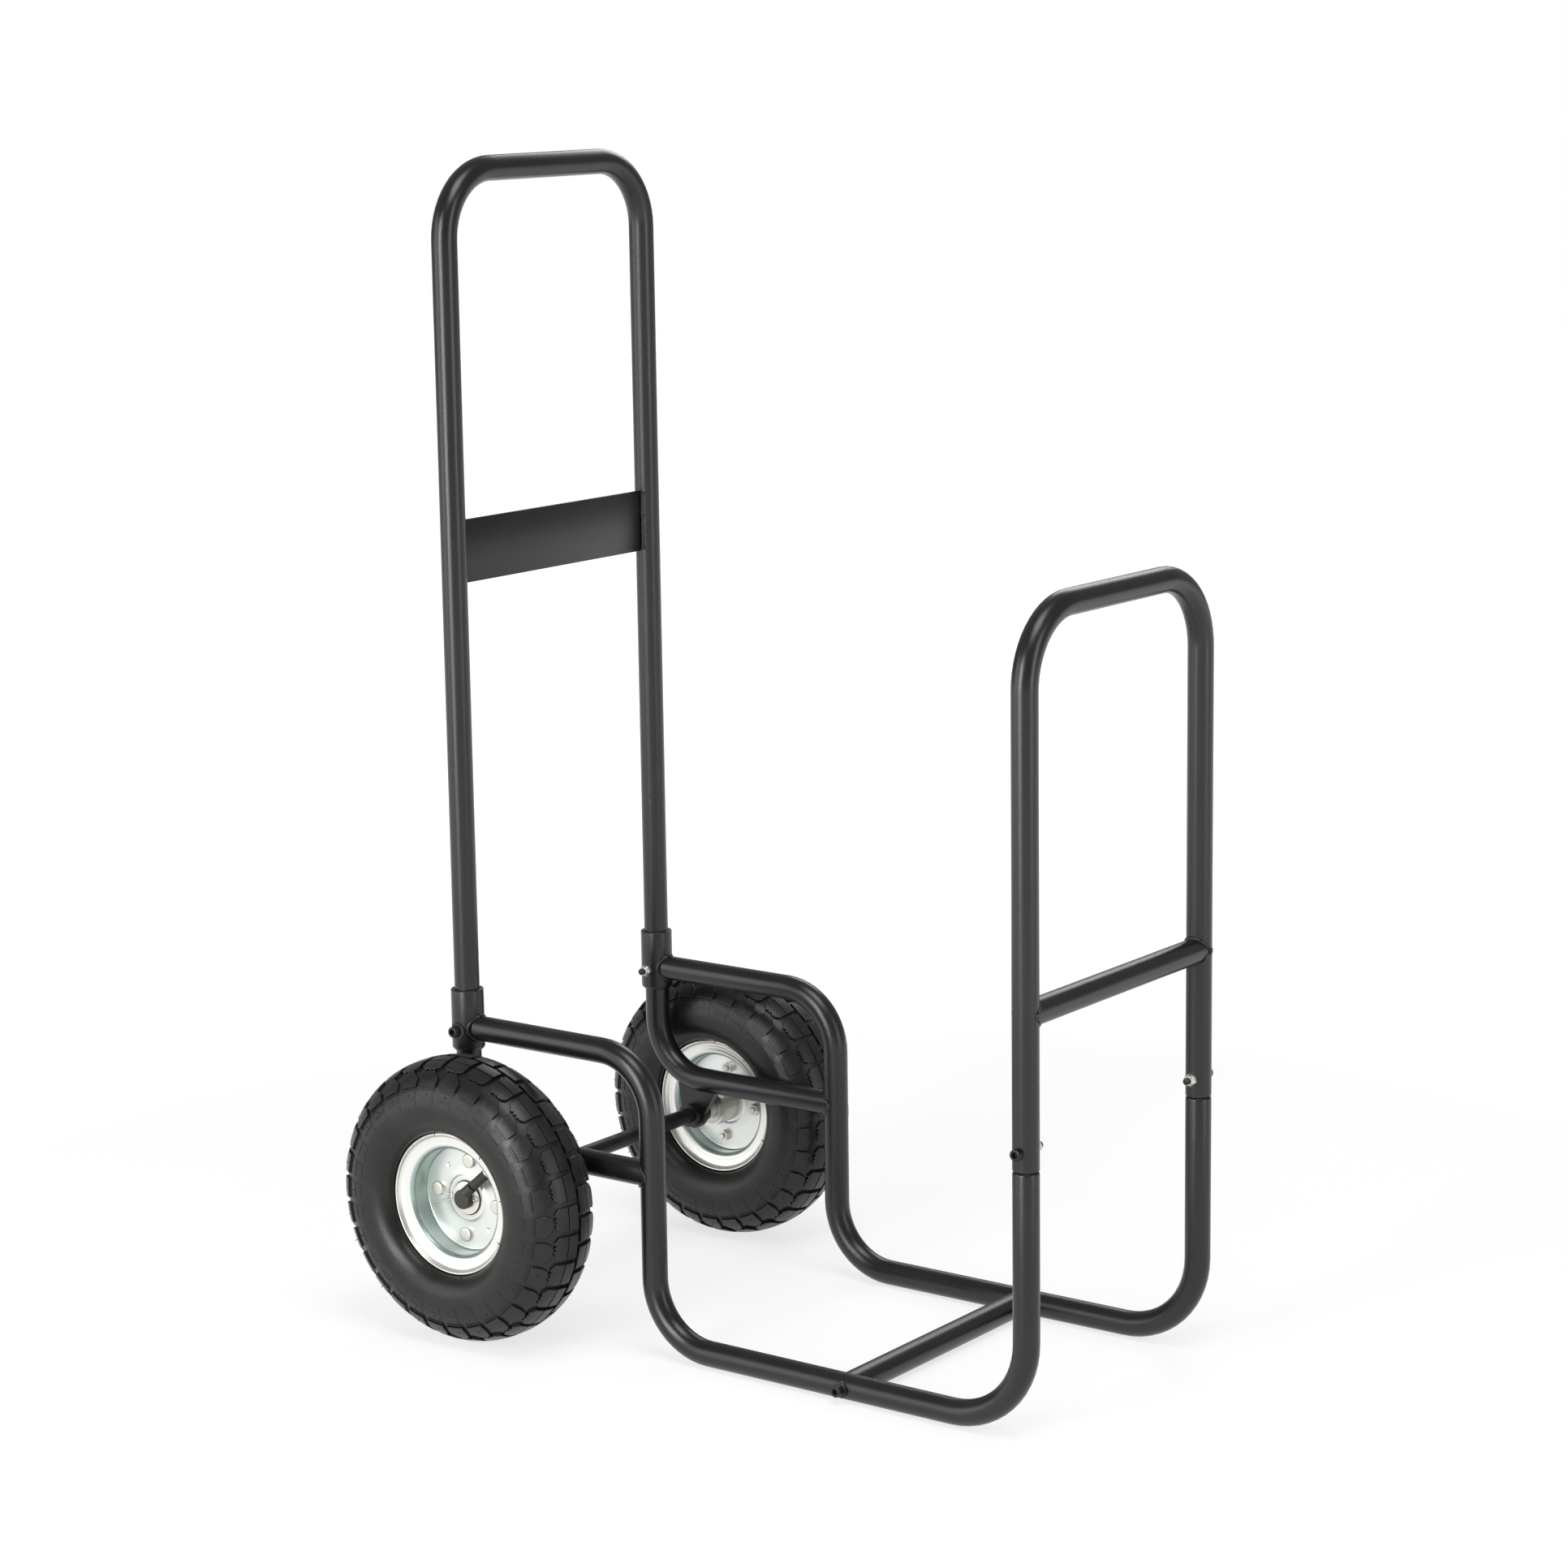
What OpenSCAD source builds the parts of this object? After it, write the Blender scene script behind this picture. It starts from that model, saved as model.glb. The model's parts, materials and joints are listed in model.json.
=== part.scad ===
// Fireside log cart: a bent-tube cradle on two air-filled wheels, with a tall push handle.
// X runs from the handle (-X) to the front hoop (+X), Y across the cart, Z up from the floor.
// Right-hand pieces are on the -Y side and left-hand ones on the +Y side.

/* [Overall] */
// Height of the cart to the top of the handle
cart_h = 1056; // [960:4:1180]
// Height of the front hoop
hoop_h = 712; // [620:4:800]
// Distance from the handle legs to the hoop legs, centre to centre
reach = 606; // [560:2:700]
// Distance between the two side frames, centre to centre
track = 278; // [240:2:340]
// Height of the rail that runs forward from the handle, at its centre
rail_z = 272; // [260:1:290]
// Distance from the handle legs to the rear upright of the side frame
drop_x = 212; // [190:2:240]
// Height of the joint between the hoop and the side frames
joint_z = 235; // [200:1:260]

/* [Tubes] */
// Outer diameter of the frame tubes
tube_d = 23; // [21:0.5:25]
// Wall of the frame tubes
tube_wall = 1.5; // [1.2:0.1:2]
// Bend radius at the handle corners, on the centre line
handle_bend = 62; // [45:1:80]
// Bend radius at the hoop corners
hoop_bend = 66; // [45:1:80]
// Bend radius where the rail turns down
rail_bend = 55; // [45:1:60]
// Bend radius at the heel of the side frame
heel_bend = 60; // [45:1:70]
// Bend radius at the toe of the side frame
toe_bend = 74; // [50:1:84]
// Bend radius of the rear leg
foot_bend = 55; // [45:1:58]
// Height of the strut that joins the rear leg to the side frame, at its centre
strut_z = 166; // [162:1:172]
// Gap left for the weld where one tube is cut to fit round another
weld_gap = 0.1; // [0.05:0.05:0.2]

/* [Handle plate and hoop bar] */
// Height of the handle plate
plate_h = 57; // [40:1:80]
// Thickness of the handle plate
plate_t = 3; // [2:0.5:5]
// Height of the middle of the handle plate
plate_z = 707; // [600:1:800]
// Height of the hoop's cross bar, at its centre
bar_z = 367; // [320:1:420]

/* [Tube joints] */
// Outer diameter of the reduced tube end that the hoop slides over
spigot_d = 19.6; // [17:0.1:21.3]
// Length of that reduced end inside the hoop
spigot_l = 42; // [34:1:60]
// Length of the taper below it
swage_l = 2.6; // [2:0.1:5]
// Outer diameter of the collar that holds the handle leg
collar_d = 30; // [28:0.5:34]
// Length of the collar
collar_l = 55; // [50:1:70]
// Height of the collar's lower end
collar_z = 253; // [240:1:257]
// Length of the collar that the rear leg fills
collar_seat = 5; // [4:0.5:8]
// Slip clearance round a tube inside the collar
slip = 0.15; // [0.1:0.05:0.3]

/* [Screws] */
// Thread diameter of the frame screws
screw_d = 6; // [5:0.5:6]
// Diameter of a frame screw's head
head_d = 10; // [9:0.5:11]
// Depth of a frame screw's head
head_l = 6; // [5:0.5:7]
// Width of a lock nut across its flats
nut_w = 10; // [9:0.5:11]
// Height of a lock nut with its nylon ring
nut_l = 7; // [6:0.5:9]
// Length of thread that stands out of a lock nut
thread_out = 3.5; // [2:0.5:6]
// Clearance round a screw in its hole
hole_gap = 0.25; // [0.2:0.05:0.4]
// Height of a hoop screw above the joint
hoop_screw_up = 17; // [12:1:22]
// Height of a handle screw above the handle's lower end
handle_screw_up = 12.5; // [8:0.5:16]
// Distance from the handle legs to the lower cross tube
cross_x = 422; // [380:1:450]
// Length of the threaded insert in each end of the cross tube
insert_l = 16; // [12:1:24]
// Diameter of a saddle washer
saddle_d = 15; // [13:0.5:17]
// Thickness of a saddle washer
saddle_t = 1.6; // [1.2:0.1:2.4]

/* [Axle] */
// Diameter of the axle
axle_d = 15; // [14.6:0.1:15]
// Distance from the handle legs to the axle
axle_x = 43; // [39:1:48]
// Running clearance between the axle and what turns or sits on it
axle_gap = 0.05; // [0.03:0.01:0.1]
// Thickness of the axle hanger plate
hanger_t = 6; // [4:0.5:8]
// Outer diameter of the axle hanger's sleeve
sleeve_d = 22; // [21:0.5:24]
// Outer diameter of the spacers on the axle
spacer_d = 19; // [18:0.1:19.4]
// Length of the spacer between the axle hanger and the wheel
spacer_l = 11; // [10:0.5:12]
// Diameter of the washer outside each wheel
washer_d = 30.6; // [29:0.1:31]
// Thickness of that washer
washer_t = 1.6; // [1.2:0.1:2]
// Diameter of a cotter pin
cotter_d = 2; // [1.8:0.1:2.6]
// Length of a cotter pin's longer leg beyond the axle
cotter_leg = 33; // [24:1:33]
// Angle that a cotter pin is turned up from the horizontal
cotter_turn = 5; // [0:1:12]
// Length of the axle beyond its cotter pin
axle_tail = 4; // [3:0.5:5]
// Wall of the end caps on the axle
cap_wall = 1.5; // [1:0.1:1.8]

/* [Wheels] */
// Outer diameter of the tyre
wheel_d = 262; // [250:1:268]
// Width of the tyre
tyre_w = 82; // [78:1:86]
// Wall of the tyre's sides
tyre_wall = 5; // [4:0.5:6]
// How square the tyre's section is, where 2 is a circle
tyre_square = 2.3; // [2.1:0.1:2.6]
// Width of the tread
tread_w = 72; // [68:1:76]
// Height of the tread's blocks at the middle of the tyre
tread_rise = 3; // [2:0.5:4]
// Height of the blocks at the shoulder
shoulder_rise = 1.5; // [1:0.25:2]
// Number of blocks in a row round the tyre
blocks = 30; // [24:1:36]
// Gap between the tyre and the side frame
wheel_gap = 4; // [3:0.5:10]
// Wall of the inner tube
inner_wall = 1.5; // [1:0.5:2.5]
// Diameter of the rim where the tyre's bead sits
seat_d = 101.6; // [100:0.2:104]
// Diameter of the rim's lip
lip_d = 131; // [128:1:134]
// Width of the rim over its lips
rim_w = 51; // [49:0.5:53]
// Thickness of the rim's sheet steel
sheet = 2; // [1.6:0.1:2.4]
// How far the joint between the rim halves lies inside the wheel's middle
dish = 2.4; // [1:0.2:3]
// Diameter of the circle of rim bolts
bolt_pcd = 70; // [66:1:74]
// Diameter of a rim bolt's head
bolt_head_d = 13.4; // [12:0.1:14]
// Depth of a rim bolt's head
bolt_head_l = 3.2; // [2.6:0.1:3.4]
// Angle of the first rim bolt
bolt_angle = 85; // [80:1:92]

/* [Bearings] */
// Outer diameter of a wheel bearing
bearing_d = 32; // [32:0.5:34]
// Width of a wheel bearing
bearing_w = 9; // [8:0.5:10]
// Number of balls in a bearing
balls = 8; // [6:1:9]
// Diameter of a ball
ball_d = 4.76; // [4:0.02:4.8]
// Outer diameter of the hub
hub_d = 36; // [35:0.5:38]
// How far the hub stands out of the rim
hub_lip = 1.2; // [0.4:0.1:2]
// Clearance between a ball and its race
race_gap = 0.06; // [0.04:0.01:0.1]

/* [Valve] */
// Diameter of the valve stem
stem_d = 9.4; // [8:0.1:9.8]
// Diameter of the valve cap
valve_cap_d = 10.2; // [9.8:0.1:11]
// Length of the valve cap
valve_cap_l = 10; // [7:0.5:12]
// Angle of the valve above the horizontal
valve_angle = 43; // [38:1:48]
// Angle that the valve leans outwards
valve_lean = 10; // [4:1:12]
// Length of the valve with its cap
valve_l = 36; // [30:1:37]

/* [Hidden] */
$fn = 48;
eps = 0.01;

// Finishes
coat = [0.2, 0.2, 0.21];
zinc = [0.74, 0.78, 0.8];
oxide = [0.07, 0.07, 0.075];
rubber = [0.11, 0.105, 0.1];
nylon = [0.85, 0.88, 0.9];
shield = [0.72, 0.66, 0.62];

// Places along X, with the origin under the middle of the cart's box
tube_r = tube_d / 2;
wheel_r = wheel_d / 2;
mid_x = (axle_x - wheel_r + reach + tube_r) / 2;
handle_x = -mid_x;
hoop_x = handle_x + reach;
upright_x = handle_x + drop_x;
wheel_x = handle_x + axle_x;
cross_tube_x = handle_x + cross_x;
side_y = track / 2;
run_z = tube_r;
axle_z = wheel_r;

// Heights of the joints
handle_top = cart_h - tube_r;
hoop_top = hoop_h - tube_r;
seat_z = collar_z + collar_seat;
seat_gap = 0.3;
handle_end = seat_z + seat_gap;
handle_screw_z = handle_end + handle_screw_up;
hoop_screw_z = joint_z + hoop_screw_up;
groove = 0.8;
hole_d = screw_d + 2 * hole_gap;

// Wheel stations, measured outwards from the wheel's middle
wheel_y = side_y + tube_r + wheel_gap + tyre_w / 2;
split = -dish;
disc_face = split + sheet;
hub_out = disc_face + hub_lip;
sleeve_out = side_y + tube_r;
race_step = 0.3;
hub_in = sleeve_out + spacer_l + race_step - wheel_y;
washer_face = hub_out + race_step + washer_t;
cap_start = washer_face + 0.1;
cotter_z = cap_start + cotter_d / 2 + 0.1;
axle_end = cotter_z + axle_tail;
cap_end = axle_end + cap_wall;

// Tyre and rim sections
seat_r = seat_d / 2;
lip_r = lip_d / 2;
side_r = tyre_w / 2;
side_c = wheel_r - tread_rise - side_r;
flange = 4;
roll = 6;
curl_z = rim_w / 2 - sheet / 2;
curl_r = lip_r - sheet - flange;
bead_gap = 0.2;
lip_clear = 0.7;

// Bearing section
race_r = (bearing_d / 2 + axle_d / 2) / 2;
race_land = 1.85;
inner_race_r = race_r - race_land;
outer_race_r = race_r + race_land;
seal_in = inner_race_r + 0.3;
seal_t = 0.8;
seal_set = 0.3;
spacer_bore = axle_d + 2 * axle_gap;

// ---- Shared shapes ----

// A straight length of frame tube standing on the origin
module pipe(l, d = tube_d, wall = tube_wall) {
    difference() {
        cylinder(h = l, d = d);
        translate([0, 0, -eps]) cylinder(h = l + 2 * eps, d = d - 2 * wall);
    }
}

// A bend in the XY plane about the origin, from one angle through a sweep
module bend(radius, start, sweep = 90, d = tube_d, wall = tube_wall) {
    rotate([0, 0, start]) rotate_extrude(angle = sweep) translate([radius, 0]) difference() {
        circle(d = d);
        if (wall > 0) circle(d = d - 2 * wall);
    }
}

// Stands a drawing of the XY plane up in the XZ plane, or across the cart in the YZ plane
module in_xz(x, y, z) {
    translate([x, y, z]) rotate([90, 0, 0]) children();
}
module in_yz(x, y, z) {
    translate([x, y, z]) rotate([90, 0, 90]) children();
}

// Draws the -Y side as it is, or the +Y side as its mirror image
module side(s) {
    mirror([0, s > 0 ? 1 : 0, 0]) children();
}

// Both sides of the cart
module both_sides() {
    for (s = [-1, 1]) side(s) children();
}

// Puts a wheel-shaped piece, drawn round +Z and facing outwards along it, on the -Y axle end
module on_axle() {
    translate([wheel_x, -wheel_y, axle_z]) rotate([90, 0, 0]) children();
}

// Points of an arc
function arc(cx, cy, r, a0, a1, n = 6) =
    [for (i = [0:n]) [cx + r * cos(a0 + (a1 - a0) * i / n), cy + r * sin(a0 + (a1 - a0) * i / n)]];

// A ring standing on the origin
module ring(ro, ri, l) {
    difference() {
        cylinder(h = l, r = ro);
        translate([0, 0, -eps]) cylinder(h = l + 2 * eps, r = ri);
    }
}

// An inverted U of tube across the cart, from a height up to its top
module arch(x, z0, top, radius) {
    bend_z = top - radius;
    for (s = [-1, 1]) translate([x, s * side_y, bend_z]) mirror([0, 0, 1]) pipe(bend_z - z0);
    translate([x, -(side_y - radius), top]) rotate([-90, 0, 0]) pipe(2 * (side_y - radius));
    in_yz(x, side_y - radius, bend_z) bend(radius, 0);
    in_yz(x, -(side_y - radius), bend_z) bend(radius, 90);
}

// A hole for a screw along Y, right through both legs of the cart
module screw_holes(x, z, d = hole_d) {
    translate([x, 0, z]) rotate([90, 0, 0]) cylinder(h = 2 * track, d = d, center = true);
}

// A socket-head screw along +Z, with the underside of its head at the origin
module cap_screw(l) {
    key_w = screw_d * 5 / 6;
    edge = 0.6;
    difference() {
        union() {
            rotate_extrude() polygon([
                [0, -head_l], [head_d / 2 - edge, -head_l], [head_d / 2, edge - head_l],
                [head_d / 2, 0], [0, 0]
            ]);
            cylinder(h = l, d = screw_d);
        }
        translate([0, 0, -head_l - eps]) cylinder(h = head_l / 2 + eps, d = key_w / cos(30), $fn = 6);
    }
}

// A lock nut along +Z: a hexagon with a round top that holds a nylon ring
nut_hex = nut_l - 2;
crown_d = nut_w - 0.8;
ring_wall = 0.9;
module lock_nut() {
    difference() {
        union() {
            cylinder(h = nut_hex, d = nut_w / cos(30), $fn = 6);
            cylinder(h = nut_l, d = crown_d);
        }
        translate([0, 0, -eps]) cylinder(h = nut_l + 2 * eps, d = screw_d + 0.1);
        translate([0, 0, nut_hex]) cylinder(h = nut_l, d = crown_d - 2 * ring_wall);
    }
}
module lock_nut_ring() {
    translate([0, 0, nut_hex])
        ring(crown_d / 2 - ring_wall - 0.05, screw_d / 2 + 0.05, nut_l - nut_hex - 0.3);
}

// Places a piece that faces inwards through one leg of the -Y side, on the tube's outer face
module through_leg(x, z, half_width) {
    translate([x, -(side_y + half_width), z]) rotate([-90, 0, 0]) children();
}

// ---- Frame ----

module handle_frame() {
    color(coat) difference() {
        arch(handle_x, handle_end, handle_top, handle_bend);
        screw_holes(handle_x, handle_screw_z);
    }
}

module handle_plate() {
    color(coat) difference() {
        translate([handle_x - plate_t / 2, -side_y, plate_z - plate_h / 2]) cube([plate_t, track, plate_h]);
        for (s = [-1, 1]) translate([handle_x, s * side_y, plate_z - plate_h])
            cylinder(h = 2 * plate_h, r = tube_r + weld_gap);
    }
}

module front_hoop() {
    color(coat) difference() {
        arch(hoop_x, joint_z + groove, hoop_top, hoop_bend);
        screw_holes(hoop_x, hoop_screw_z);
    }
}

module hoop_crossbar() {
    color(coat) difference() {
        translate([hoop_x, -side_y, bar_z]) rotate([-90, 0, 0]) pipe(track);
        for (s = [-1, 1])
            translate([hoop_x, s * side_y, bar_z - tube_d]) cylinder(h = 2 * tube_d, r = tube_r + weld_gap);
    }
}

// The reduced end of a side frame, which stands inside the hoop
module spigot() {
    spigot_r = spigot_d / 2;
    rotate_extrude() polygon([
        [tube_r - tube_wall, 0], [tube_r, 0], [spigot_r, swage_l], [spigot_r, swage_l + spigot_l],
        [spigot_r - tube_wall, swage_l + spigot_l], [spigot_r - tube_wall, swage_l]
    ]);
}

// One side frame: rail, rear upright, ground run and front upright in a single bent tube
module side_frame() {
    rail_end = upright_x - rail_bend;
    run_start = upright_x + heel_bend;
    run_end = hoop_x - toe_bend;
    swage_z = joint_z - swage_l;
    color(coat) difference() {
        union() {
            translate([handle_x, -side_y, rail_z]) rotate([0, 90, 0]) pipe(rail_end - handle_x);
            in_xz(rail_end, -side_y, rail_z - rail_bend) bend(rail_bend, 0);
            translate([upright_x, -side_y, run_z + heel_bend]) pipe(rail_z - rail_bend - run_z - heel_bend);
            in_xz(run_start, -side_y, run_z + heel_bend) bend(heel_bend, 180);
            translate([run_start, -side_y, run_z]) rotate([0, 90, 0]) pipe(run_end - run_start);
            in_xz(run_end, -side_y, run_z + toe_bend) bend(toe_bend, 270);
            translate([hoop_x, -side_y, run_z + toe_bend]) pipe(swage_z - run_z - toe_bend);
            translate([hoop_x, -side_y, swage_z]) spigot();
        }
        translate([handle_x, -side_y, collar_z]) cylinder(h = 2 * collar_l, r = collar_d / 2 + weld_gap);
        screw_holes(hoop_x, hoop_screw_z);
        screw_holes(cross_tube_x, run_z);
    }
}

module handle_collar() {
    edge = 1;
    color(coat) difference() {
        translate([handle_x, -side_y, collar_z]) rotate_extrude() polygon([
            [tube_r + slip, 0], [collar_d / 2 - edge, 0], [collar_d / 2, edge],
            [collar_d / 2, collar_l - edge], [collar_d / 2 - edge, collar_l], [tube_r + slip, collar_l]
        ]);
        screw_holes(handle_x, handle_screw_z);
    }
}

// The path of the rear leg, as tube or, with no wall, as a solid of a given diameter
module rear_leg_path(d = tube_d, wall = tube_wall) {
    bend_x = handle_x + foot_bend;
    bend_z = strut_z + foot_bend;
    if (wall > 0) {
        translate([handle_x, -side_y, bend_z]) pipe(seat_z - bend_z, d, wall);
        translate([bend_x, -side_y, strut_z]) rotate([0, 90, 0]) pipe(upright_x - bend_x, d, wall);
    } else {
        translate([handle_x, -side_y, bend_z]) cylinder(h = seat_z - bend_z, d = d);
        translate([bend_x, -side_y, strut_z]) rotate([0, 90, 0]) cylinder(h = upright_x - bend_x, d = d);
    }
    in_xz(bend_x, -side_y, bend_z) bend(foot_bend, 180, 90, d, wall);
}

module rear_leg() {
    color(coat) difference() {
        rear_leg_path();
        translate([upright_x, -side_y, strut_z - tube_d]) cylinder(h = 2 * tube_d, r = tube_r + weld_gap);
    }
}

// A plate welded under the rear leg, with a sleeve for the axle
module axle_hanger() {
    ear_r = sleeve_d / 2 + 3;
    heel = 18;
    toe = 34;
    axis_z = axle_z;
    color(coat) difference() {
        union() {
            translate([0, -side_y + hanger_t / 2, 0]) rotate([90, 0, 0]) linear_extrude(hanger_t) union() {
                polygon([
                    [wheel_x - heel, strut_z], [wheel_x + toe, strut_z],
                    [wheel_x + ear_r * 0.9, axis_z], [wheel_x - ear_r * 0.9, axis_z]
                ]);
                translate([wheel_x, axis_z]) circle(r = ear_r);
            }
            translate([wheel_x, -side_y, axis_z]) rotate([90, 0, 0])
                cylinder(h = tube_d, d = sleeve_d, center = true);
        }
        rear_leg_path(tube_d + 2 * weld_gap, 0);
        translate([wheel_x, -side_y, axis_z]) rotate([90, 0, 0])
            cylinder(h = 2 * tube_d, d = spacer_bore, center = true);
    }
}

// The lower cross tube, cut at each end to fit the round of the ground run
module cross_tube() {
    color(coat) difference() {
        translate([cross_tube_x, -side_y, run_z]) rotate([-90, 0, 0]) pipe(track);
        for (s = [-1, 1])
            translate([cross_tube_x - tube_d, s * side_y, run_z]) rotate([0, 90, 0])
                cylinder(h = 2 * tube_d, r = tube_r + weld_gap);
    }
}

insert_set = 6;
module cross_tube_inserts() {
    color(zinc) both_sides() through_leg(cross_tube_x, run_z, -tube_r - insert_set)
        ring(tube_r - tube_wall - 0.05, screw_d / 2 + 0.05, insert_l);
}

module cross_tube_screws() {
    color(oxide) both_sides() through_leg(cross_tube_x, run_z, tube_r + saddle_t)
        cap_screw(saddle_t + tube_d + insert_set + insert_l - 2);
}

// A washer curved to sit on the outside of a tube of a given radius, leaning by an angle from upright
module saddle_washer(x, z, r, lean) {
    difference() {
        intersection() {
            translate([x, -side_y, z]) rotate([0, lean, 0]) translate([0, 0, -saddle_d])
                ring(r + saddle_t, r + 0.02, 2 * saddle_d);
            through_leg(x, z, 2 * r) cylinder(h = 2 * r, d = saddle_d);
        }
        screw_holes(x, z);
    }
}

module saddle_washers() {
    color(oxide) both_sides() {
        saddle_washer(cross_tube_x, run_z, tube_r, 90);
        saddle_washer(handle_x, handle_screw_z, collar_d / 2, 0);
    }
}

module hoop_screws() {
    color(oxide) both_sides() through_leg(hoop_x, hoop_screw_z, tube_r)
        cap_screw(tube_d + nut_l + thread_out);
}

module hoop_nuts() {
    color(zinc) both_sides() through_leg(hoop_x, hoop_screw_z, -tube_r) lock_nut();
}

module handle_screws() {
    color(oxide) both_sides() through_leg(handle_x, handle_screw_z, collar_d / 2 + saddle_t)
        cap_screw(saddle_t + collar_d + nut_l + thread_out);
}

module handle_nuts() {
    color(zinc) both_sides() through_leg(handle_x, handle_screw_z, -collar_d / 2) lock_nut();
}

module nylon_rings() {
    color(nylon) both_sides() {
        through_leg(hoop_x, hoop_screw_z, -tube_r) lock_nut_ring();
        through_leg(handle_x, handle_screw_z, -collar_d / 2) lock_nut_ring();
    }
}

// ---- Axle ----

// Lays a piece drawn round Z along a cotter pin, towards its eye
module along_cotter() {
    translate([0, 0, cotter_z]) rotate([0, 0, cotter_turn]) rotate([0, 90, 0]) children();
}

module axle() {
    axle_half = wheel_y + axle_end;
    color(oxide) difference() {
        translate([wheel_x, 0, axle_z]) rotate([90, 0, 0])
            cylinder(h = 2 * axle_half, d = axle_d, center = true);
        both_sides() on_axle() along_cotter() cylinder(h = 2 * axle_d, d = cotter_d + 0.3, center = true);
    }
}

module axle_spacers() {
    color(zinc) both_sides() on_axle() translate([0, 0, hub_in - race_step - spacer_l])
        ring(spacer_d / 2, spacer_bore / 2, spacer_l);
}

module axle_washers() {
    color(shield) both_sides() on_axle() translate([0, 0, washer_face - washer_t])
        ring(washer_d / 2, spacer_bore / 2, washer_t);
}

// A split pin through the axle: an eye in front, and two sprung legs behind
module cotter_pin() {
    eye_r = 2.6;
    body = axle_d / 2 + cap_wall + 1;
    leg_d = cotter_d / 2;
    splay = 12;
    legs = [cotter_leg * 0.62, cotter_leg];
    rotate([0, -90, 0]) translate([0, 0, -body]) cylinder(h = 2 * body, d = cotter_d);
    translate([body + eye_r - 0.5, 0, 0]) rotate_extrude(angle = 360, $fn = 36)
        translate([eye_r, 0]) circle(d = leg_d);
    for (i = [0, 1]) translate([0.6 - body, (0.5 - i) * leg_d, 0]) rotate([0, -90, (2 * i - 1) * splay])
        cylinder(h = legs[i], d = leg_d - 0.05);
}

module cotter_pins() {
    color(zinc) both_sides() on_axle() translate([0, 0, cotter_z]) rotate([0, 0, cotter_turn]) cotter_pin();
}

module axle_caps() {
    cap_r = axle_d / 2 + cap_wall;
    color(oxide) both_sides() on_axle() difference() {
        translate([0, 0, cap_start]) cylinder(h = cap_end - cap_start, r = cap_r);
        translate([0, 0, cap_start - eps]) cylinder(h = axle_end - cap_start + 0.05, r = axle_d / 2 + 0.05);
        along_cotter() cylinder(h = 4 * cap_r, d = cotter_d + 0.3, center = true);
    }
}

// ---- Bearings and hub ----

// Both bearing stations of a wheel
module at_bearings() {
    for (z = [hub_in, hub_out - bearing_w]) translate([0, 0, z]) children();
}

// The round track that the balls run in
module ball_track(gap) {
    translate([0, 0, bearing_w / 2]) rotate_extrude() translate([race_r, 0])
        circle(r = ball_d / 2 + gap, $fn = 24);
}

module bearing_inner_races() {
    color(zinc) both_sides() on_axle() difference() {
        for (z = [hub_in - race_step, hub_out - bearing_w])
            translate([0, 0, z]) ring(inner_race_r, spacer_bore / 2, bearing_w + race_step);
        at_bearings() ball_track(race_gap);
    }
}

module hub_spacers() {
    inner_l = hub_out - hub_in - 2 * bearing_w;
    color(zinc) both_sides() on_axle() translate([0, 0, hub_in + bearing_w])
        ring(spacer_d / 2, spacer_bore / 2, inner_l);
}

module bearing_outer_races() {
    color(zinc) on_axle() at_bearings() difference() {
        ring(bearing_d / 2 - 0.02, outer_race_r, bearing_w);
        ball_track(race_gap / 2);
        for (z = [-eps, bearing_w - seal_set - seal_t - 0.02])
            translate([0, 0, z]) cylinder(h = seal_set + seal_t + 0.02 + eps, r = outer_race_r + 0.6);
    }
}

module bearing_seals() {
    color(shield) on_axle() at_bearings() for (z = [seal_set, bearing_w - seal_set - seal_t])
        translate([0, 0, z]) ring(outer_race_r + 0.55, seal_in, seal_t);
}

module bearing_balls() {
    color(zinc) on_axle() at_bearings() for (i = [0:balls - 1]) rotate([0, 0, i * 360 / balls])
        translate([race_r, 0, bearing_w / 2]) sphere(d = ball_d, $fn = 24);
}

module hub() {
    bore = bearing_d / 2;
    step = outer_race_r + 0.2;
    color(zinc) on_axle() difference() {
        translate([0, 0, hub_in]) cylinder(h = hub_out - hub_in, d = hub_d);
        translate([0, 0, hub_in - eps]) cylinder(h = hub_out - hub_in + 2 * eps, r = step);
        translate([0, 0, hub_in - eps]) cylinder(h = bearing_w + eps, r = bore);
        translate([0, 0, hub_out - bearing_w]) cylinder(h = bearing_w + eps, r = bore);
    }
}

// ---- Rim ----

// Section of one pressed rim half, from the joint at height 0 out to its lip at a height
module rim_section(lip) {
    hole = hub_d / 2 + weld_gap;
    barrel = seat_r - sheet;
    corner = 5;
    neck = lip - flange - roll;
    boss_rise = 1.4;
    boss_r = hub_d / 2 + 2.4;
    boss_foot = hub_d / 2 + 5.1;
    polygon(concat(
        [[hole, 0], [hole, sheet + boss_rise], [boss_r, sheet + boss_rise], [boss_foot, sheet]],
        arc(barrel - corner, sheet + corner, corner, -90, 0),
        arc(barrel + roll, neck, roll, 180, 90),
        arc(curl_r, lip, flange, -90, 0),
        arc(lip_r - sheet / 2, lip, sheet / 2, 150, 30, 4),
        arc(curl_r, lip, flange + sheet, 0, -90),
        arc(barrel + roll, neck, roll - sheet, 90, 180),
        arc(barrel - corner, sheet + corner, corner + sheet, 0, -90)
    ));
}

module rim_holes() {
    for (i = [0:3]) rotate([0, 0, bolt_angle + i * 90]) translate([bolt_pcd / 2, 0, -rim_w / 2])
        cylinder(h = rim_w, d = hole_d);
}

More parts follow.
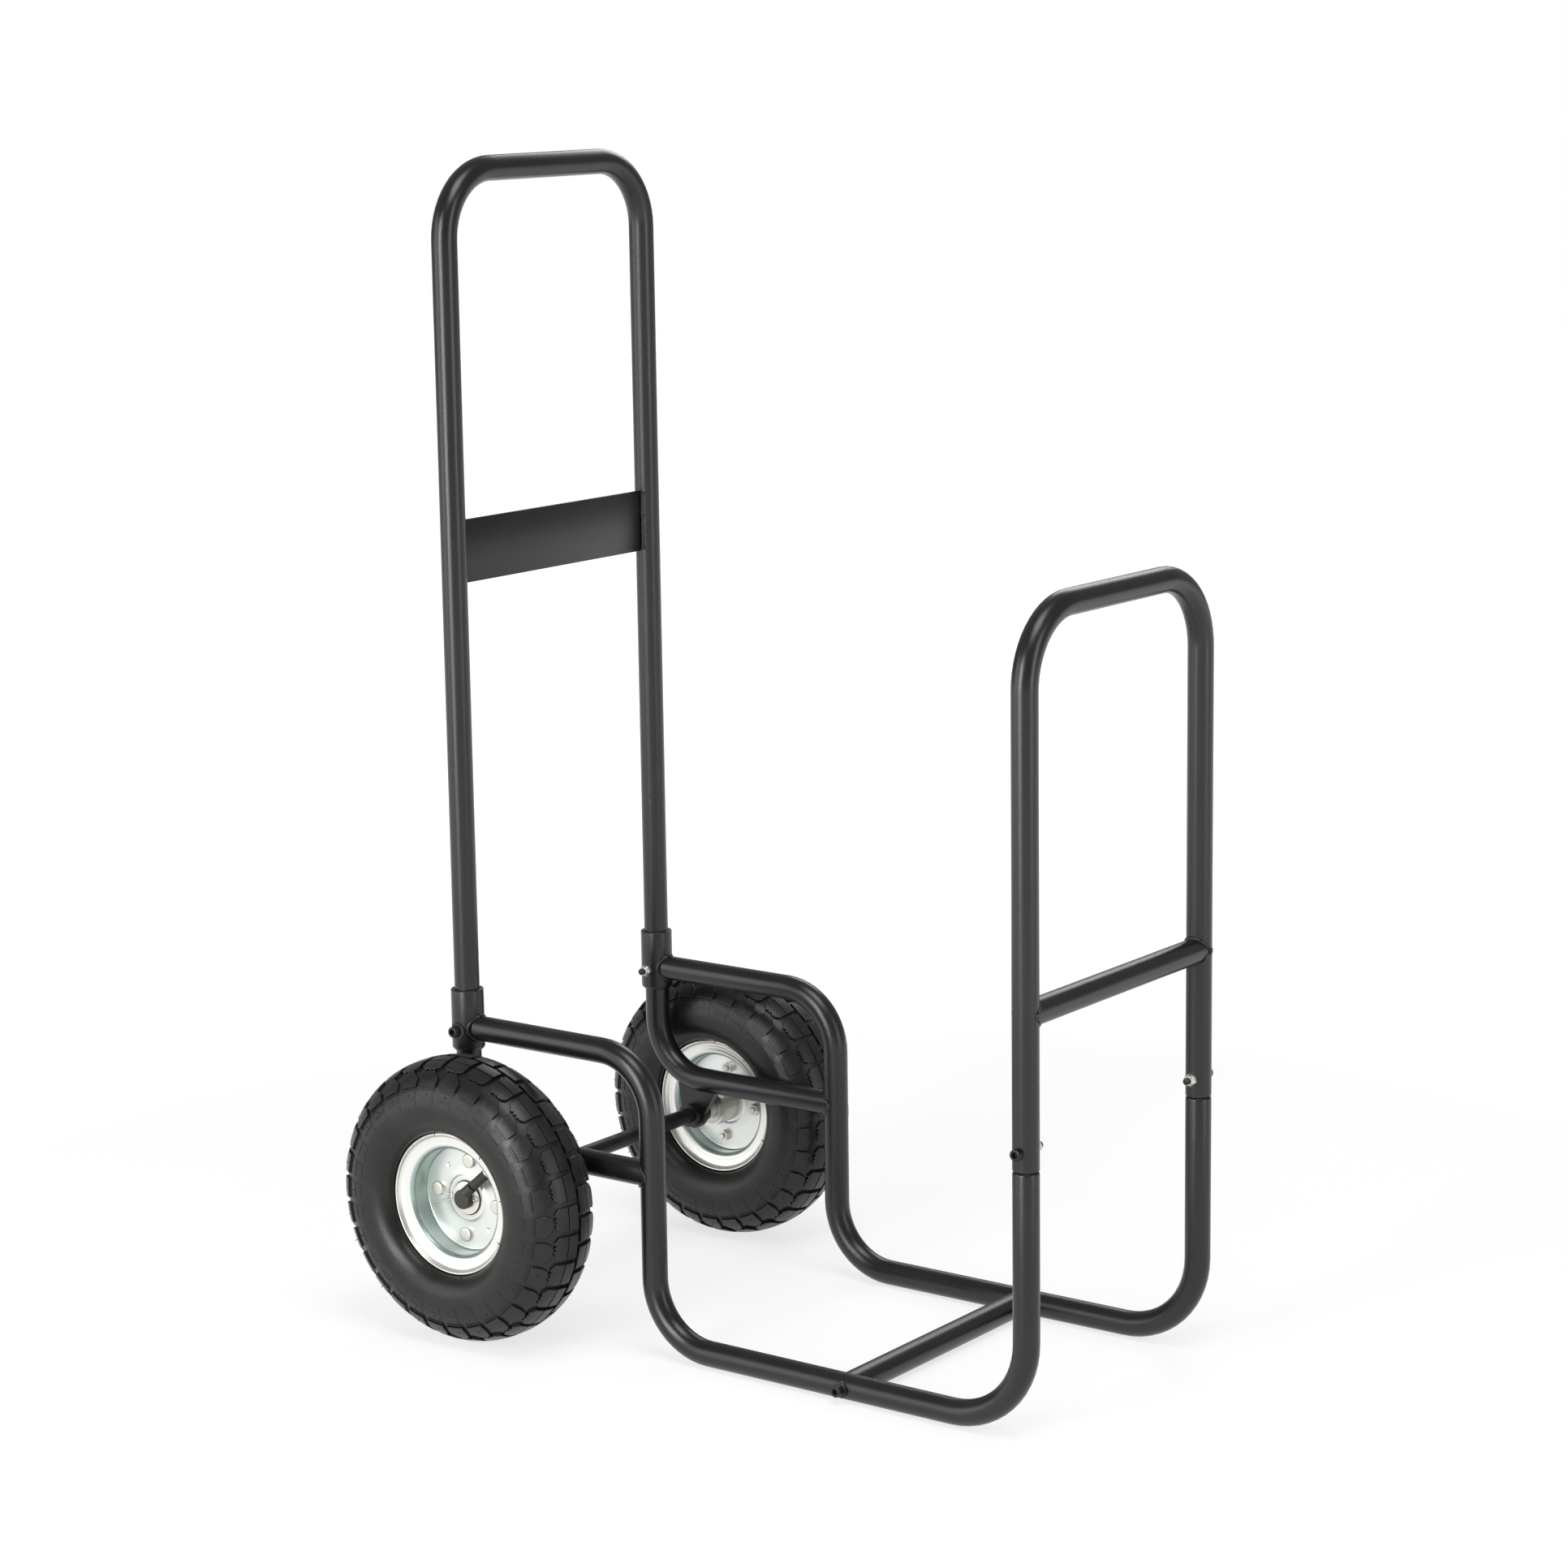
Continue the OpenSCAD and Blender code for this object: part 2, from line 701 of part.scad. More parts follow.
module rim_outer() {
    dent_r = 3;
    color(zinc) on_axle() difference() {
        translate([0, 0, split]) rotate_extrude($fn = 72) rim_section(curl_z - split);
        rim_holes();
        for (a = [45, 225]) rotate([0, 0, bolt_angle + a]) translate([bolt_pcd / 2, 0, disc_face + dent_r - 1])
            sphere(r = dent_r, $fn = 24);
        on_valve() translate([0, 0, -3 * sheet]) cylinder(h = 6 * sheet, d = stem_d + 0.8);
    }
}

module rim_inner() {
    color(zinc) on_axle() difference() {
        translate([0, 0, split]) mirror([0, 0, 1]) rotate_extrude($fn = 72) rim_section(curl_z + split);
        rim_holes();
    }
}

module at_rim_bolts() {
    for (i = [0:3]) rotate([0, 0, bolt_angle + i * 90]) translate([bolt_pcd / 2, 0, 0]) children();
}

rim_nut_l = 5;
module rim_bolts() {
    head_r = bolt_head_d / 2;
    thread = 2 * sheet + rim_nut_l + 2;
    color(zinc) on_axle() at_rim_bolts() {
        translate([0, 0, disc_face]) rotate_extrude($fn = 32) polygon([
            [0, 0], [head_r, 0], [head_r, bolt_head_l - 1.2], [head_r - 0.5, bolt_head_l - 0.4],
            [head_r - 1.6, bolt_head_l], [0, bolt_head_l]
        ]);
        translate([0, 0, disc_face - thread]) cylinder(h = thread, d = screw_d, $fn = 32);
    }
}

module rim_nuts() {
    color(zinc) on_axle() at_rim_bolts() translate([0, 0, split - sheet - rim_nut_l]) difference() {
        cylinder(h = rim_nut_l, d = nut_w / cos(30), $fn = 6);
        translate([0, 0, -eps]) cylinder(h = rim_nut_l + 2 * eps, d = screw_d + 0.1);
    }
}

// ---- Tyre ----

// The foot of the tyre between the rim's seat and its flange, on the +Z side of the section
foot_in = 12.6;
wall_bend = 12;
wall_r = lip_r + lip_clear + wall_bend;
wall_z = side_r - 1.2 - wall_bend;
side_low = 98;
side_high = 88;
foot_line = [
    [seat_r + 9, foot_in], [seat_r + 13, foot_in + 4], [lip_r + 3.5, curl_z + 0.5],
    [side_c - 14, side_r - 9.5], [side_c - 8, side_r - 6.5]
];
cavity_r = side_r - tyre_wall;
foot_top = 100;

// The same foot with a margin, taken out of the inner tube on both sides
module foot_room(margin) {
    cavity_x = side_c + cavity_r * cos(foot_top);
    cavity_z = cavity_r * sin(foot_top);
    polygon(concat(
        [[seat_r - sheet, foot_in - margin]],
        [for (p = foot_line) [p[0] + margin, p[1] - margin]],
        [[cavity_x + margin, cavity_z - margin], [cavity_x + margin, side_r + 5], [seat_r - sheet, side_r + 5]]
    ));
}

module mirrored_section() {
    children();
    mirror([0, 1]) children();
}

// The round of the tyre's section from the side to the crown. At 90 degrees it is widest,
// and at 0 it is the middle of the tread
function squared(wide, tall, turn) = [
    side_c + tall * pow(cos(turn), 2 / tyre_square),
    wide * pow(sin(turn), 2 / tyre_square)
];
function turn_at(z) = asin(pow(z / side_r, tyre_square / 2));
function casing(turn, lift = 0) = squared(side_r + lift, side_r + lift, turn);
function block_top(turn) = squared(side_r + shoulder_rise, side_r + tread_rise, turn);
function stretch(from, to, n) = [for (i = [0:n]) from + (to - from) * i / n];

// Places of the rows across the tyre: the end of the blocks, the thin groove between the
// shoulder row and the middle rows, and the groove along the middle
tread_end = turn_at(tread_w / 2);
row_z = 24.8;
row_gap = 1;
middle_z = 1.6;

// Half of the tyre's outer face, from the toe of its foot to the middle of the tread
function outer_half() = concat(
    [[seat_r + bead_gap, foot_in]],
    arc(seat_r - sheet + roll, curl_z - flange - roll, roll - sheet - bead_gap, 180, 90),
    arc(curl_r, curl_z, flange + sheet + bead_gap, -90, 0),
    arc(wall_r, wall_z, wall_bend, 180, 95),
    [[side_c + side_r * cos(side_low), side_r * sin(side_low)]],
    [for (t = stretch(side_high, tread_end, 5)) casing(t)],
    [for (t = stretch(tread_end, turn_at(row_z + row_gap), 4)) block_top(t)],
    [casing(turn_at(row_z + row_gap)), casing(turn_at(row_z))],
    [for (t = stretch(turn_at(row_z), turn_at(middle_z), 4)) block_top(t)],
    [casing(turn_at(middle_z))]
);

// Half of its inner face, from the middle to the toe
function inner_half() = concat(
    arc(side_c, 0, cavity_r, 0, foot_top, 9),
    [for (i = [4:-1:0]) foot_line[i]]
);
function flipped(points) = [for (i = [len(points) - 1:-1:0]) [points[i][0], -points[i][1]]];

// The gaps between the blocks stop a little above the casing
gap_floor = 0.3;
// A gap's section is the room outside the casing from one distance off the middle to another
module gap_section(z0, z1, z_out, width) {
    rotate([90, 0, 0]) linear_extrude(width, center = true) polygon(concat(
        [for (t = stretch(turn_at(z0), turn_at(z1), 4)) casing(t, gap_floor)],
        [[side_c + side_r, z_out], [wheel_r + tread_rise, z_out], [wheel_r + tread_rise, z0]]
    ));
}

// Between two blocks of the middle rows
pitch = 360 / blocks;
row_turn = 2.3;
gap_w = 4.8;
module middle_gap() {
    row_end = row_z + row_gap / 2;
    rotate([0, 0, row_turn + pitch / 2]) gap_section(middle_z / 2, row_end, row_end, gap_w);
}

// Between two blocks of the shoulder row, which are narrow where they face the middle rows.
// The gap widens from its neck to its mouth, further on one side of the block than the other
neck_z = 31;
mouth_z = 26.7;
mouth_low = -4.4;
mouth_high = 8.5;
point_low = -6.5;
point_high = 10;
module shoulder_gap() {
    rotate([0, 0, pitch / 2]) intersection() {
        gap_section(row_z + row_gap / 2, tread_w / 2 + 1.5, side_r, 4 * gap_w);
        rotate([0, -90, 0]) mirror([0, 0, 1]) linear_extrude(wheel_r + 2 * tread_rise) polygon([
            [side_r + 1, -gap_w / 2], [neck_z, -gap_w / 2], [mouth_z, mouth_low], [row_z, point_low],
            [row_z, point_high], [mouth_z, mouth_high], [neck_z, gap_w / 2], [side_r + 1, gap_w / 2]
        ]);
    }
}

module tyre() {
    color(rubber) on_axle() difference() {
        rotate_extrude($fn = 96)
            polygon(concat(outer_half(), flipped(outer_half()), flipped(inner_half()), inner_half()));
        for (i = [0:blocks - 1]) rotate([0, 0, i * pitch]) {
            middle_gap();
            shoulder_gap();
            rotate([0, 0, pitch / 2]) mirror([0, 0, 1]) {
                middle_gap();
                shoulder_gap();
            }
        }
    }
}

module inner_section(inset) {
    difference() {
        translate([side_c, 0]) circle(r = cavity_r - inset);
        translate([0, -tyre_w]) square([seat_r + inset, 2 * tyre_w]);
        mirrored_section() foot_room(inset);
    }
}

module inner_tube() {
    seat = 0.3;
    color(oxide) on_axle() difference() {
        rotate_extrude($fn = 72) inner_section(seat);
        rotate_extrude($fn = 72) inner_section(seat + inner_wall);
    }
}

// ---- Valve ----

// Follows the valve from the rim's seat inwards, leaning outwards
valve_z = 9.2;
valve_set = 1.4;
valve_nut_l = 1.8;
module on_valve(along = 0) {
    rotate([0, 0, valve_angle]) translate([seat_r - valve_set, 0, valve_z]) rotate([0, valve_lean - 90, 0])
        translate([0, 0, along]) children();
}

sheath_l = valve_l - valve_cap_l;
thread_w = 1.2;
module valve_stem() {
    color(oxide) on_axle() on_valve() {
        cylinder(h = sheath_l, d = stem_d, $fn = 32);
        cylinder(h = valve_l - 2.5, d = stem_d - 2 * thread_w, $fn = 32);
    }
}

module valve_nut() {
    color(zinc) on_axle() on_valve(sheet + 1) ring(stem_d / 2 + 1.5, stem_d / 2 + 0.05, valve_nut_l);
}

module valve_cap() {
    color(oxide) on_axle() on_valve(sheath_l) difference() {
        cylinder(h = valve_cap_l, d = valve_cap_d, $fn = 32);
        translate([0, 0, -eps]) cylinder(h = valve_cap_l - 2, d = stem_d - 2 * thread_w + 0.1, $fn = 32);
    }
}

handle_frame();
handle_plate();
front_hoop();
hoop_crossbar();
side(-1) side_frame();  // side_frame_right
side(1) side_frame();  // side_frame_left
side(-1) handle_collar();  // handle_collar_right
side(1) handle_collar();  // handle_collar_left
side(-1) rear_leg();  // rear_leg_right
side(1) rear_leg();  // rear_leg_left
side(-1) axle_hanger();  // axle_hanger_right
side(1) axle_hanger();  // axle_hanger_left
cross_tube();
cross_tube_inserts();
cross_tube_screws();
saddle_washers();
hoop_screws();
hoop_nuts();
handle_screws();
handle_nuts();
nylon_rings();
axle();
axle_spacers();
axle_washers();
cotter_pins();
axle_caps();
bearing_inner_races();
hub_spacers();
side(-1) tyre();  // tyre_right
side(-1) inner_tube();  // inner_tube_right
side(-1) rim_outer();  // rim_outer_right
side(-1) rim_inner();  // rim_inner_right
side(-1) hub();  // hub_right
side(-1) rim_bolts();  // rim_bolts_right
side(-1) rim_nuts();  // rim_nuts_right
side(-1) bearing_outer_races();  // bearing_outer_races_right
side(-1) bearing_balls();  // bearing_balls_right
side(-1) bearing_seals();  // bearing_seals_right
side(-1) valve_stem();  // valve_stem_right
side(-1) valve_nut();  // valve_nut_right
side(-1) valve_cap();  // valve_cap_right
side(1) tyre();  // tyre_left
side(1) inner_tube();  // inner_tube_left
side(1) rim_outer();  // rim_outer_left
side(1) rim_inner();  // rim_inner_left
side(1) hub();  // hub_left
side(1) rim_bolts();  // rim_bolts_left
side(1) rim_nuts();  // rim_nuts_left
side(1) bearing_outer_races();  // bearing_outer_races_left
side(1) bearing_balls();  // bearing_balls_left
side(1) bearing_seals();  // bearing_seals_left
side(1) valve_stem();  // valve_stem_left
side(1) valve_nut();  // valve_nut_left
side(1) valve_cap();  // valve_cap_left
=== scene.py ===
# %% [markdown]
# # A fireside log cart
#
# The cart is a cradle of bent steel tube on two air-filled wheels, with a tall handle at
# one end and a lower hoop at the other. The solid model gives every tube, bolt and
# bearing its true size and place. This lesson dresses it: the moulded tyres, the pressed
# and zinc-plated rims, the welds, the fasteners and the powder coat.
#
# The first cell loads the solid model as a fixed frame. Nothing in it is moved later.

# %% Load the frame
import json
import random
from math import atan2, cos, degrees, exp, hypot, pi, radians, sin, sqrt, tau

import bmesh
import bpy
from mathutils import Matrix, Vector, noise


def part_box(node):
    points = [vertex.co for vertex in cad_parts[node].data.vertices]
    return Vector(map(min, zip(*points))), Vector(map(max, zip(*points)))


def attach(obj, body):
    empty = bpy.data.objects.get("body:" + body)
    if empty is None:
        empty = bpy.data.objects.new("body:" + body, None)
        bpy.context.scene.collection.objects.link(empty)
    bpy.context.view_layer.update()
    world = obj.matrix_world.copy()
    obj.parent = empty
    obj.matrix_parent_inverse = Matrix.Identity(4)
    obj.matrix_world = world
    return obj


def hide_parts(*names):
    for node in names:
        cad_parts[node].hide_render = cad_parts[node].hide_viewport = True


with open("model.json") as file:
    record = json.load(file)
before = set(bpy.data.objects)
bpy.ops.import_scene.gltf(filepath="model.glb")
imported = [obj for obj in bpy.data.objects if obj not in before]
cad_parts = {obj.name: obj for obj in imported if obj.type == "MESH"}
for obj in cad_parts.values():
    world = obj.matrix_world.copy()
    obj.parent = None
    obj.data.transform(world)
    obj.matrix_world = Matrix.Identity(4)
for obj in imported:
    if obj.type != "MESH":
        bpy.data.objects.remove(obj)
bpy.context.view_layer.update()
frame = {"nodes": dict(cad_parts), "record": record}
nodes = frame["nodes"]
MM = 0.001
print("pieces in the frame:", len(nodes))

# %% [markdown]
# ## Where things are
#
# Every later piece has to sit on something in the frame, so its size and place are read
# from the frame and not typed in. The right-hand wheel is the one on the -Y side. Each
# wheel piece is drawn round the Z axis, in millimetres, with +Z pointing out of the cart,
# and one matrix then stands it up on the axle. R is the radius of the tube in metres.

# %% Measure the frame
def centre_of(node):
    low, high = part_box(node)
    return (low + high) / 2


def size_of(node):
    low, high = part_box(node)
    return (high - low) / MM


hub_middle = centre_of("tyre_right")
tyre_radius = size_of("tyre_right").z / 2
half_width = size_of("tyre_right").y / 2
tube_radius = size_of("hoop_crossbar").z / 2
R = tube_radius * MM
handle_x = centre_of("handle_plate").x
hoop_x = centre_of("hoop_crossbar").x
side_y = -centre_of("side_frame_right").y
UP, OUT, AHEAD = Vector((0, 0, 1)), Vector((0, 1, 0)), Vector((1, 0, 0))
TO_METRES = Matrix.Scale(MM, 4)
ON_AXLE = Matrix.Translation(hub_middle) @ Matrix.Rotation(radians(90), 4, "X") @ TO_METRES
print("wheel centre, m:", [round(v, 4) for v in hub_middle])
print("tyre radius and half width, mm:", round(tyre_radius, 2), round(half_width, 2))
print("tube radius, mm:", round(tube_radius, 2), " side frames at y =", round(side_y, 4))

# %% [markdown]
# ## The camera
#
# The camera stands in front of the right-hand side, a little above the handle, and looks
# down at the cart through a long lens. A slight roll is kept, because the handle leans by
# a hair in the picture. The direction comes first, as the rotation that takes the
# camera's -Z axis to the target, and then the roll turns it about its own line of sight.

# %% Place the camera
camera_data = bpy.data.cameras.new("camera")
camera_data.sensor_width = 36
camera_data.lens = 90.57
camera = bpy.data.objects.new("camera", camera_data)
bpy.context.scene.collection.objects.link(camera)
camera.location = (2.05405, -2.7700, 1.1712)
aim = Vector((-0.00485, 0, 0.5012)) - camera.location
ROLL = Matrix.Rotation(radians(-0.86), 4, "Z")
camera.matrix_world = (
    Matrix.Translation(camera.location) @ aim.to_track_quat("-Z", "Y").to_matrix().to_4x4() @ ROLL
)
bpy.context.scene.camera = camera
print("camera is", round(aim.length, 3), "m from its target")

# %% [markdown]
# ## Shader helpers
#
# All the finishes are built from the same few nodes: a Principled shader, noise that
# breaks up its colour and roughness, and a fine bump. These small helpers keep each
# finish to a few readable lines, and each finish is kept under its name. Every pattern
# reads Object coordinates, which are metres here, so a noise scale of 1000 makes grains
# about a millimetre across.

# %% Shader helpers
finishes = {}


def new_finish(name, roughness, metallic=0.0):
    material = finishes[name] = bpy.data.materials.new(name)
    material.use_nodes = True
    tree = material.node_tree
    shader = tree.nodes["Principled BSDF"]
    shader.inputs["Metallic"].default_value = metallic
    shader.inputs["Roughness"].default_value = roughness
    material.diffuse_color = (0.3, 0.3, 0.3, 1)
    return tree, shader


def add_node(tree, kind, **inputs):
    node = tree.nodes.new(kind)
    for name, value in inputs.items():
        node.inputs[name.replace("_", " ")].default_value = value
    return node


def object_point(tree, centre=(0, 0, 0), scale=(1, 1, 1)):
    place = tree.nodes.new("ShaderNodeTexCoord")
    mapping = tree.nodes.new("ShaderNodeMapping")
    mapping.inputs["Location"].default_value = [-c * s for c, s in zip(centre, scale)]
    mapping.inputs["Scale"].default_value = scale
    tree.links.new(place.outputs["Object"], mapping.inputs["Vector"])
    return mapping.outputs["Vector"]


def grain(tree, point, scale, detail=2.0, roughness=0.5):
    node = add_node(tree, "ShaderNodeTexNoise", Scale=scale, Detail=detail, Roughness=roughness)
    tree.links.new(point, node.inputs["Vector"])
    return node.outputs["Fac"]


def between(tree, value, low, high, to_low=0.0, to_high=1.0):
    ends = {"From_Min": low, "From_Max": high, "To_Min": to_low, "To_Max": to_high}
    node = add_node(tree, "ShaderNodeMapRange", **ends)
    tree.links.new(value, node.inputs["Value"])
    return node.outputs["Result"]


def mixed(tree, value, first, second):
    node = tree.nodes.new("ShaderNodeMix")
    node.data_type = "RGBA"
    factor, colour_a, colour_b, result = node.inputs[0], node.inputs[6], node.inputs[7], node.outputs[2]
    for socket, colour in ((colour_a, first), (colour_b, second)):
        if isinstance(colour, bpy.types.NodeSocket):
            tree.links.new(colour, socket)
        else:
            socket.default_value = (*colour, 1)
    tree.links.new(value, factor)
    return result


def coloured(tree, shader, pattern, low, high, first, second):
    """Mixes two colours where a pattern runs from low to high."""
    colour = mixed(tree, between(tree, pattern, low, high), first, second)
    tree.links.new(colour, shader.inputs["Base Color"])


def roughened(tree, shader, pattern, smooth_end, rough_end):
    tree.links.new(between(tree, pattern, 0.3, 0.7, smooth_end, rough_end), shader.inputs["Roughness"])


def bumped(tree, shader, height, distance, strength=1.0, under=None):
    node = add_node(tree, "ShaderNodeBump", Strength=strength, Distance=distance)
    tree.links.new(height, node.inputs["Height"])
    if under is not None:
        tree.links.new(under, node.inputs["Normal"])
    tree.links.new(node.outputs["Normal"], shader.inputs["Normal"])
    return node.outputs["Normal"]


def srgb(red, green, blue):
    return tuple(((c / 255 + 0.055) / 1.055) ** 2.4 for c in (red, green, blue))


print("a mid charcoal in linear light:", [round(v, 3) for v in srgb(60, 60, 61)])

# %% [markdown]
# ## Floor, background and light
#
# The cart stands on a plain pale floor in a bright studio. The camera sees the floor and
# the world as white, while the light that falls on the cart stays at a plain level, so
# the dark tubes keep their depth. The zinc rims mirror the white floor too. Near the cart
# the floor's own glow is a little weaker and a diffuse part is added to it, so the shadow
# shows as a soft grey. Two tall strip boxes draw the long bright streaks down the upright
# tubes, one left and one right of the camera. They start at the floor, because a mirror
# image in an upright tube keeps the height of the line of sight. A broad weak panel on
# the far left is what the discs of the wheels reflect.

# %% Build the studio
def only_seen(tree, in_mirrors=False):
    path = tree.nodes.new("ShaderNodeLightPath")
    if not in_mirrors:
        return path.outputs["Is Camera Ray"]
    either = tree.nodes.new("ShaderNodeMath")
    either.operation = "MAXIMUM"
    tree.links.new(path.outputs["Is Camera Ray"], either.inputs[0])
    tree.links.new(path.outputs["Is Glossy Ray"], either.inputs[1])
    return either.outputs[0]


floor_mesh = bmesh.new()
bmesh.ops.create_grid(floor_mesh, x_segments=1, y_segments=1, size=9)
bmesh.ops.translate(floor_mesh, vec=(0, 0, -0.0005), verts=floor_mesh.verts)
floor_data = bpy.data.meshes.new("floor")
floor_mesh.to_mesh(floor_data)
floor_mesh.free()
floor = bpy.data.objects.new("floor", floor_data)
bpy.context.scene.collection.objects.link(floor)

floor_paint = bpy.data.materials.new("floor_paint")
floor_paint.use_nodes = True
tree = floor_paint.node_tree
tree.nodes.remove(tree.nodes["Principled BSDF"])
plain = tree.nodes.new("ShaderNodeBsdfDiffuse")
plain.inputs["Color"].default_value = (0.8, 0.8, 0.8, 1)
weak = tree.nodes.new("ShaderNodeBsdfDiffuse")
weak.inputs["Color"].default_value = (0.3, 0.3, 0.3, 1)
glow = tree.nodes.new("ShaderNodeEmission")
away = tree.nodes.new("ShaderNodeVectorMath")
away.operation = "LENGTH"
tree.links.new(object_point(tree), away.inputs[0])
tree.links.new(between(tree, away.outputs["Value"], 1.0, 2.2, 0.72, 1.0), glow.inputs["Strength"])
bright = tree.nodes.new("ShaderNodeAddShader")
choose = tree.nodes.new("ShaderNodeMixShader")
tree.links.new(weak.outputs[0], bright.inputs[0])
tree.links.new(glow.outputs[0], bright.inputs[1])
tree.links.new(only_seen(tree, in_mirrors=True), choose.inputs[0])
tree.links.new(plain.outputs[0], choose.inputs[1])
tree.links.new(bright.outputs[0], choose.inputs[2])
tree.links.new(choose.outputs[0], tree.nodes["Material Output"].inputs["Surface"])
floor_data.materials.append(floor_paint)

world = bpy.data.worlds.new("studio")
bpy.context.scene.world = world
world.use_nodes = True
tree = world.node_tree
soft = tree.nodes["Background"]
soft.inputs["Color"].default_value = (1, 1, 1, 1)
soft.inputs["Strength"].default_value = 0.32
white = tree.nodes.new("ShaderNodeBackground")
white.inputs["Color"].default_value = (1, 1, 1, 1)
white.inputs["Strength"].default_value = 1
choose = tree.nodes.new("ShaderNodeMixShader")
tree.links.new(only_seen(tree), choose.inputs[0])
tree.links.new(soft.outputs[0], choose.inputs[1])
tree.links.new(white.outputs[0], choose.inputs[2])
tree.links.new(choose.outputs[0], tree.nodes["World Output"].inputs["Surface"])


def soft_box(name, place, target, size, power):
    light = bpy.data.lights.new(name, "AREA")
    light.shape = "RECTANGLE"
    light.size, light.size_y = size
    light.energy = power
    box = bpy.data.objects.new(name, light)
    bpy.context.scene.collection.objects.link(box)
    box.location = place
    box.rotation_euler = (Vector(target) - box.location).to_track_quat("-Z", "Y").to_euler()


soft_box("left_strip", (-0.2, -4.2, 1.5), (-0.2, 0, 1.5), (1.5, 3.0), 138)
soft_box("right_strip", (4.2, 0.0, 1.5), (0, 0, 1.5), (1.2, 3.0), 42)
soft_box("overhead", (1.0, -0.8, 3.6), (0, 0, 0.4), (1.8, 1.8), 52)
soft_box("panel", (-3.2, -3.6, 1.5), (0, 0, 1.5), (2.6, 3.0), 54)
soft_box("back", (-1.2, 3.2, 2.6), (0, 0, 0.5), (2.0, 1.4), 30)
bpy.context.scene.view_settings.view_transform = "Standard"
print("soft boxes:", len(bpy.data.lights))

# %% [markdown]
# ## Powder coat
#
# The frame is sprayed with charcoal powder and baked. It comes out satin, with a very
# fine orange-peel skin and faint lighter and darker patches where the film is thinner or
# thicker. Two noises do this: a slow one for the patches and a quick one for the skin.

# %% Powder coat
tree, shader = new_finish("powder_coat", 0.3)
point = object_point(tree)
patches = grain(tree, point, 9, detail=4)
skin = grain(tree, point, 1400, detail=1)
tint = mixed(tree, between(tree, patches, 0.35, 0.65), srgb(17, 17, 19), srgb(24, 24, 26))
specks = mixed(tree, between(tree, skin, 0.62, 0.8, 0, 0.3), tint, srgb(58, 58, 60))
tree.links.new(specks, shader.inputs["Base Color"])
roughened(tree, shader, patches, 0.23, 0.29)
shader.inputs["Specular IOR Level"].default_value = 0.5
bumped(tree, shader, skin, 0.0004, 0.25)
print("powder coat has", len(tree.nodes), "shader nodes")

# %% [markdown]
# ## Zinc
#
# The rims are pressed from sheet and zinc-plated with a clear, slightly blue-green
# passivation. Plated sheet isn't an even mirror: its roughness wanders, it has faint
# clouds, and the pressing leaves fine marks that run round the axle. The deep barrel is
# painted a darker teal between a cool disc and a creamy flange, as painted shade for its
# recess over the passivation's blue-green. The distance from the axle drives both the
# tint with this painted shade and the pressing marks, so they stay circles on the disc.

# %% Zinc
def from_axle(tree, point):
    flat = tree.nodes.new("ShaderNodeVectorMath")
    flat.operation = "MULTIPLY"
    flat.inputs[1].default_value = (1, 0, 1)
    tree.links.new(point, flat.inputs[0])
    radius = tree.nodes.new("ShaderNodeVectorMath")
    radius.operation = "LENGTH"
    tree.links.new(flat.outputs["Vector"], radius.inputs[0])
    return radius.outputs["Value"]


def tint_by_radius(tree, radius, stops):
    """Stops are pairs of a radius in millimetres and a colour."""
    ramp = tree.nodes.new("ShaderNodeValToRGB")
    reach = stops[-1][0]
    for i, (at, colour) in enumerate(stops):
        stop = ramp.color_ramp.elements[i] if i < 2 else ramp.color_ramp.elements.new(at / reach)
        stop.position = at / reach
        stop.color = (*colour, 1)
    tree.links.new(between(tree, radius, 0, reach * MM), ramp.inputs["Fac"])
    return ramp.outputs["Color"]


def zinc_finish(name, colour, cloud, rough, centre=(0, 0, 0), stops=None):
    tree, shader = new_finish(name, rough[0], metallic=0.9)
    point = object_point(tree, centre)
    clouds = grain(tree, point, 16, detail=2)
    radius = from_axle(tree, point)
    rings = add_node(tree, "ShaderNodeTexNoise", Scale=900.0, Detail=2.0)
    rings.noise_dimensions = "1D"
    tree.links.new(radius, rings.inputs["W"])
    main = tint_by_radius(tree, radius, stops) if stops else colour
    clouded = mixed(tree, between(tree, clouds, 0.4, 0.8, 0, 0.5), main, cloud)
    tree.links.new(clouded, shader.inputs["Base Color"])
    roughened(tree, shader, clouds, *rough)
    fine = grain(tree, point, 2200, detail=1)
    first = bumped(tree, shader, rings.outputs["Fac"], 0.0003, 0.06)
    bumped(tree, shader, fine, 0.0002, 0.12, under=first)


# The barrel's darker teal is painted shade for the deep recess, over the zinc's blue-green.
disc_tint, barrel_painted_shade, flange_tint = srgb(232, 234, 231), srgb(170, 187, 182), srgb(240, 240, 234)
rim_tint_and_shade_stops = [
    (0.0, disc_tint), (46.6, disc_tint), (48.2, barrel_painted_shade),
    (51.2, barrel_painted_shade), (53.6, flange_tint), (66.0, flange_tint),
]
rim_cloud = srgb(218, 222, 219)
zinc_finish("rim_zinc_right", None, rim_cloud, (0.28, 0.36), hub_middle, rim_tint_and_shade_stops)
zinc_finish("rim_zinc_left", None, rim_cloud, (0.28, 0.36), hub_middle * Vector((1, -1, 1)), rim_tint_and_shade_stops)
zinc_finish("bright_zinc", srgb(224, 221, 212), srgb(206, 203, 197), (0.28, 0.4))
zinc_finish("washer_zinc", srgb(228, 225, 218), srgb(214, 210, 205), (0.36, 0.46), hub_middle)
zinc_finish("bearing_steel", srgb(190, 190, 190), srgb(176, 176, 178), (0.3, 0.4), hub_middle)
print("finishes so far:", list(finishes))

# %% [markdown]
# ## Black steel, plastic and nylon
#
# The socket screws and the axle are black-oxide steel, which is a dark oily grey and not
# a true black. The caps are moulded plastic, softer and less shiny, and the lock nuts
# hold a ring of pale nylon.

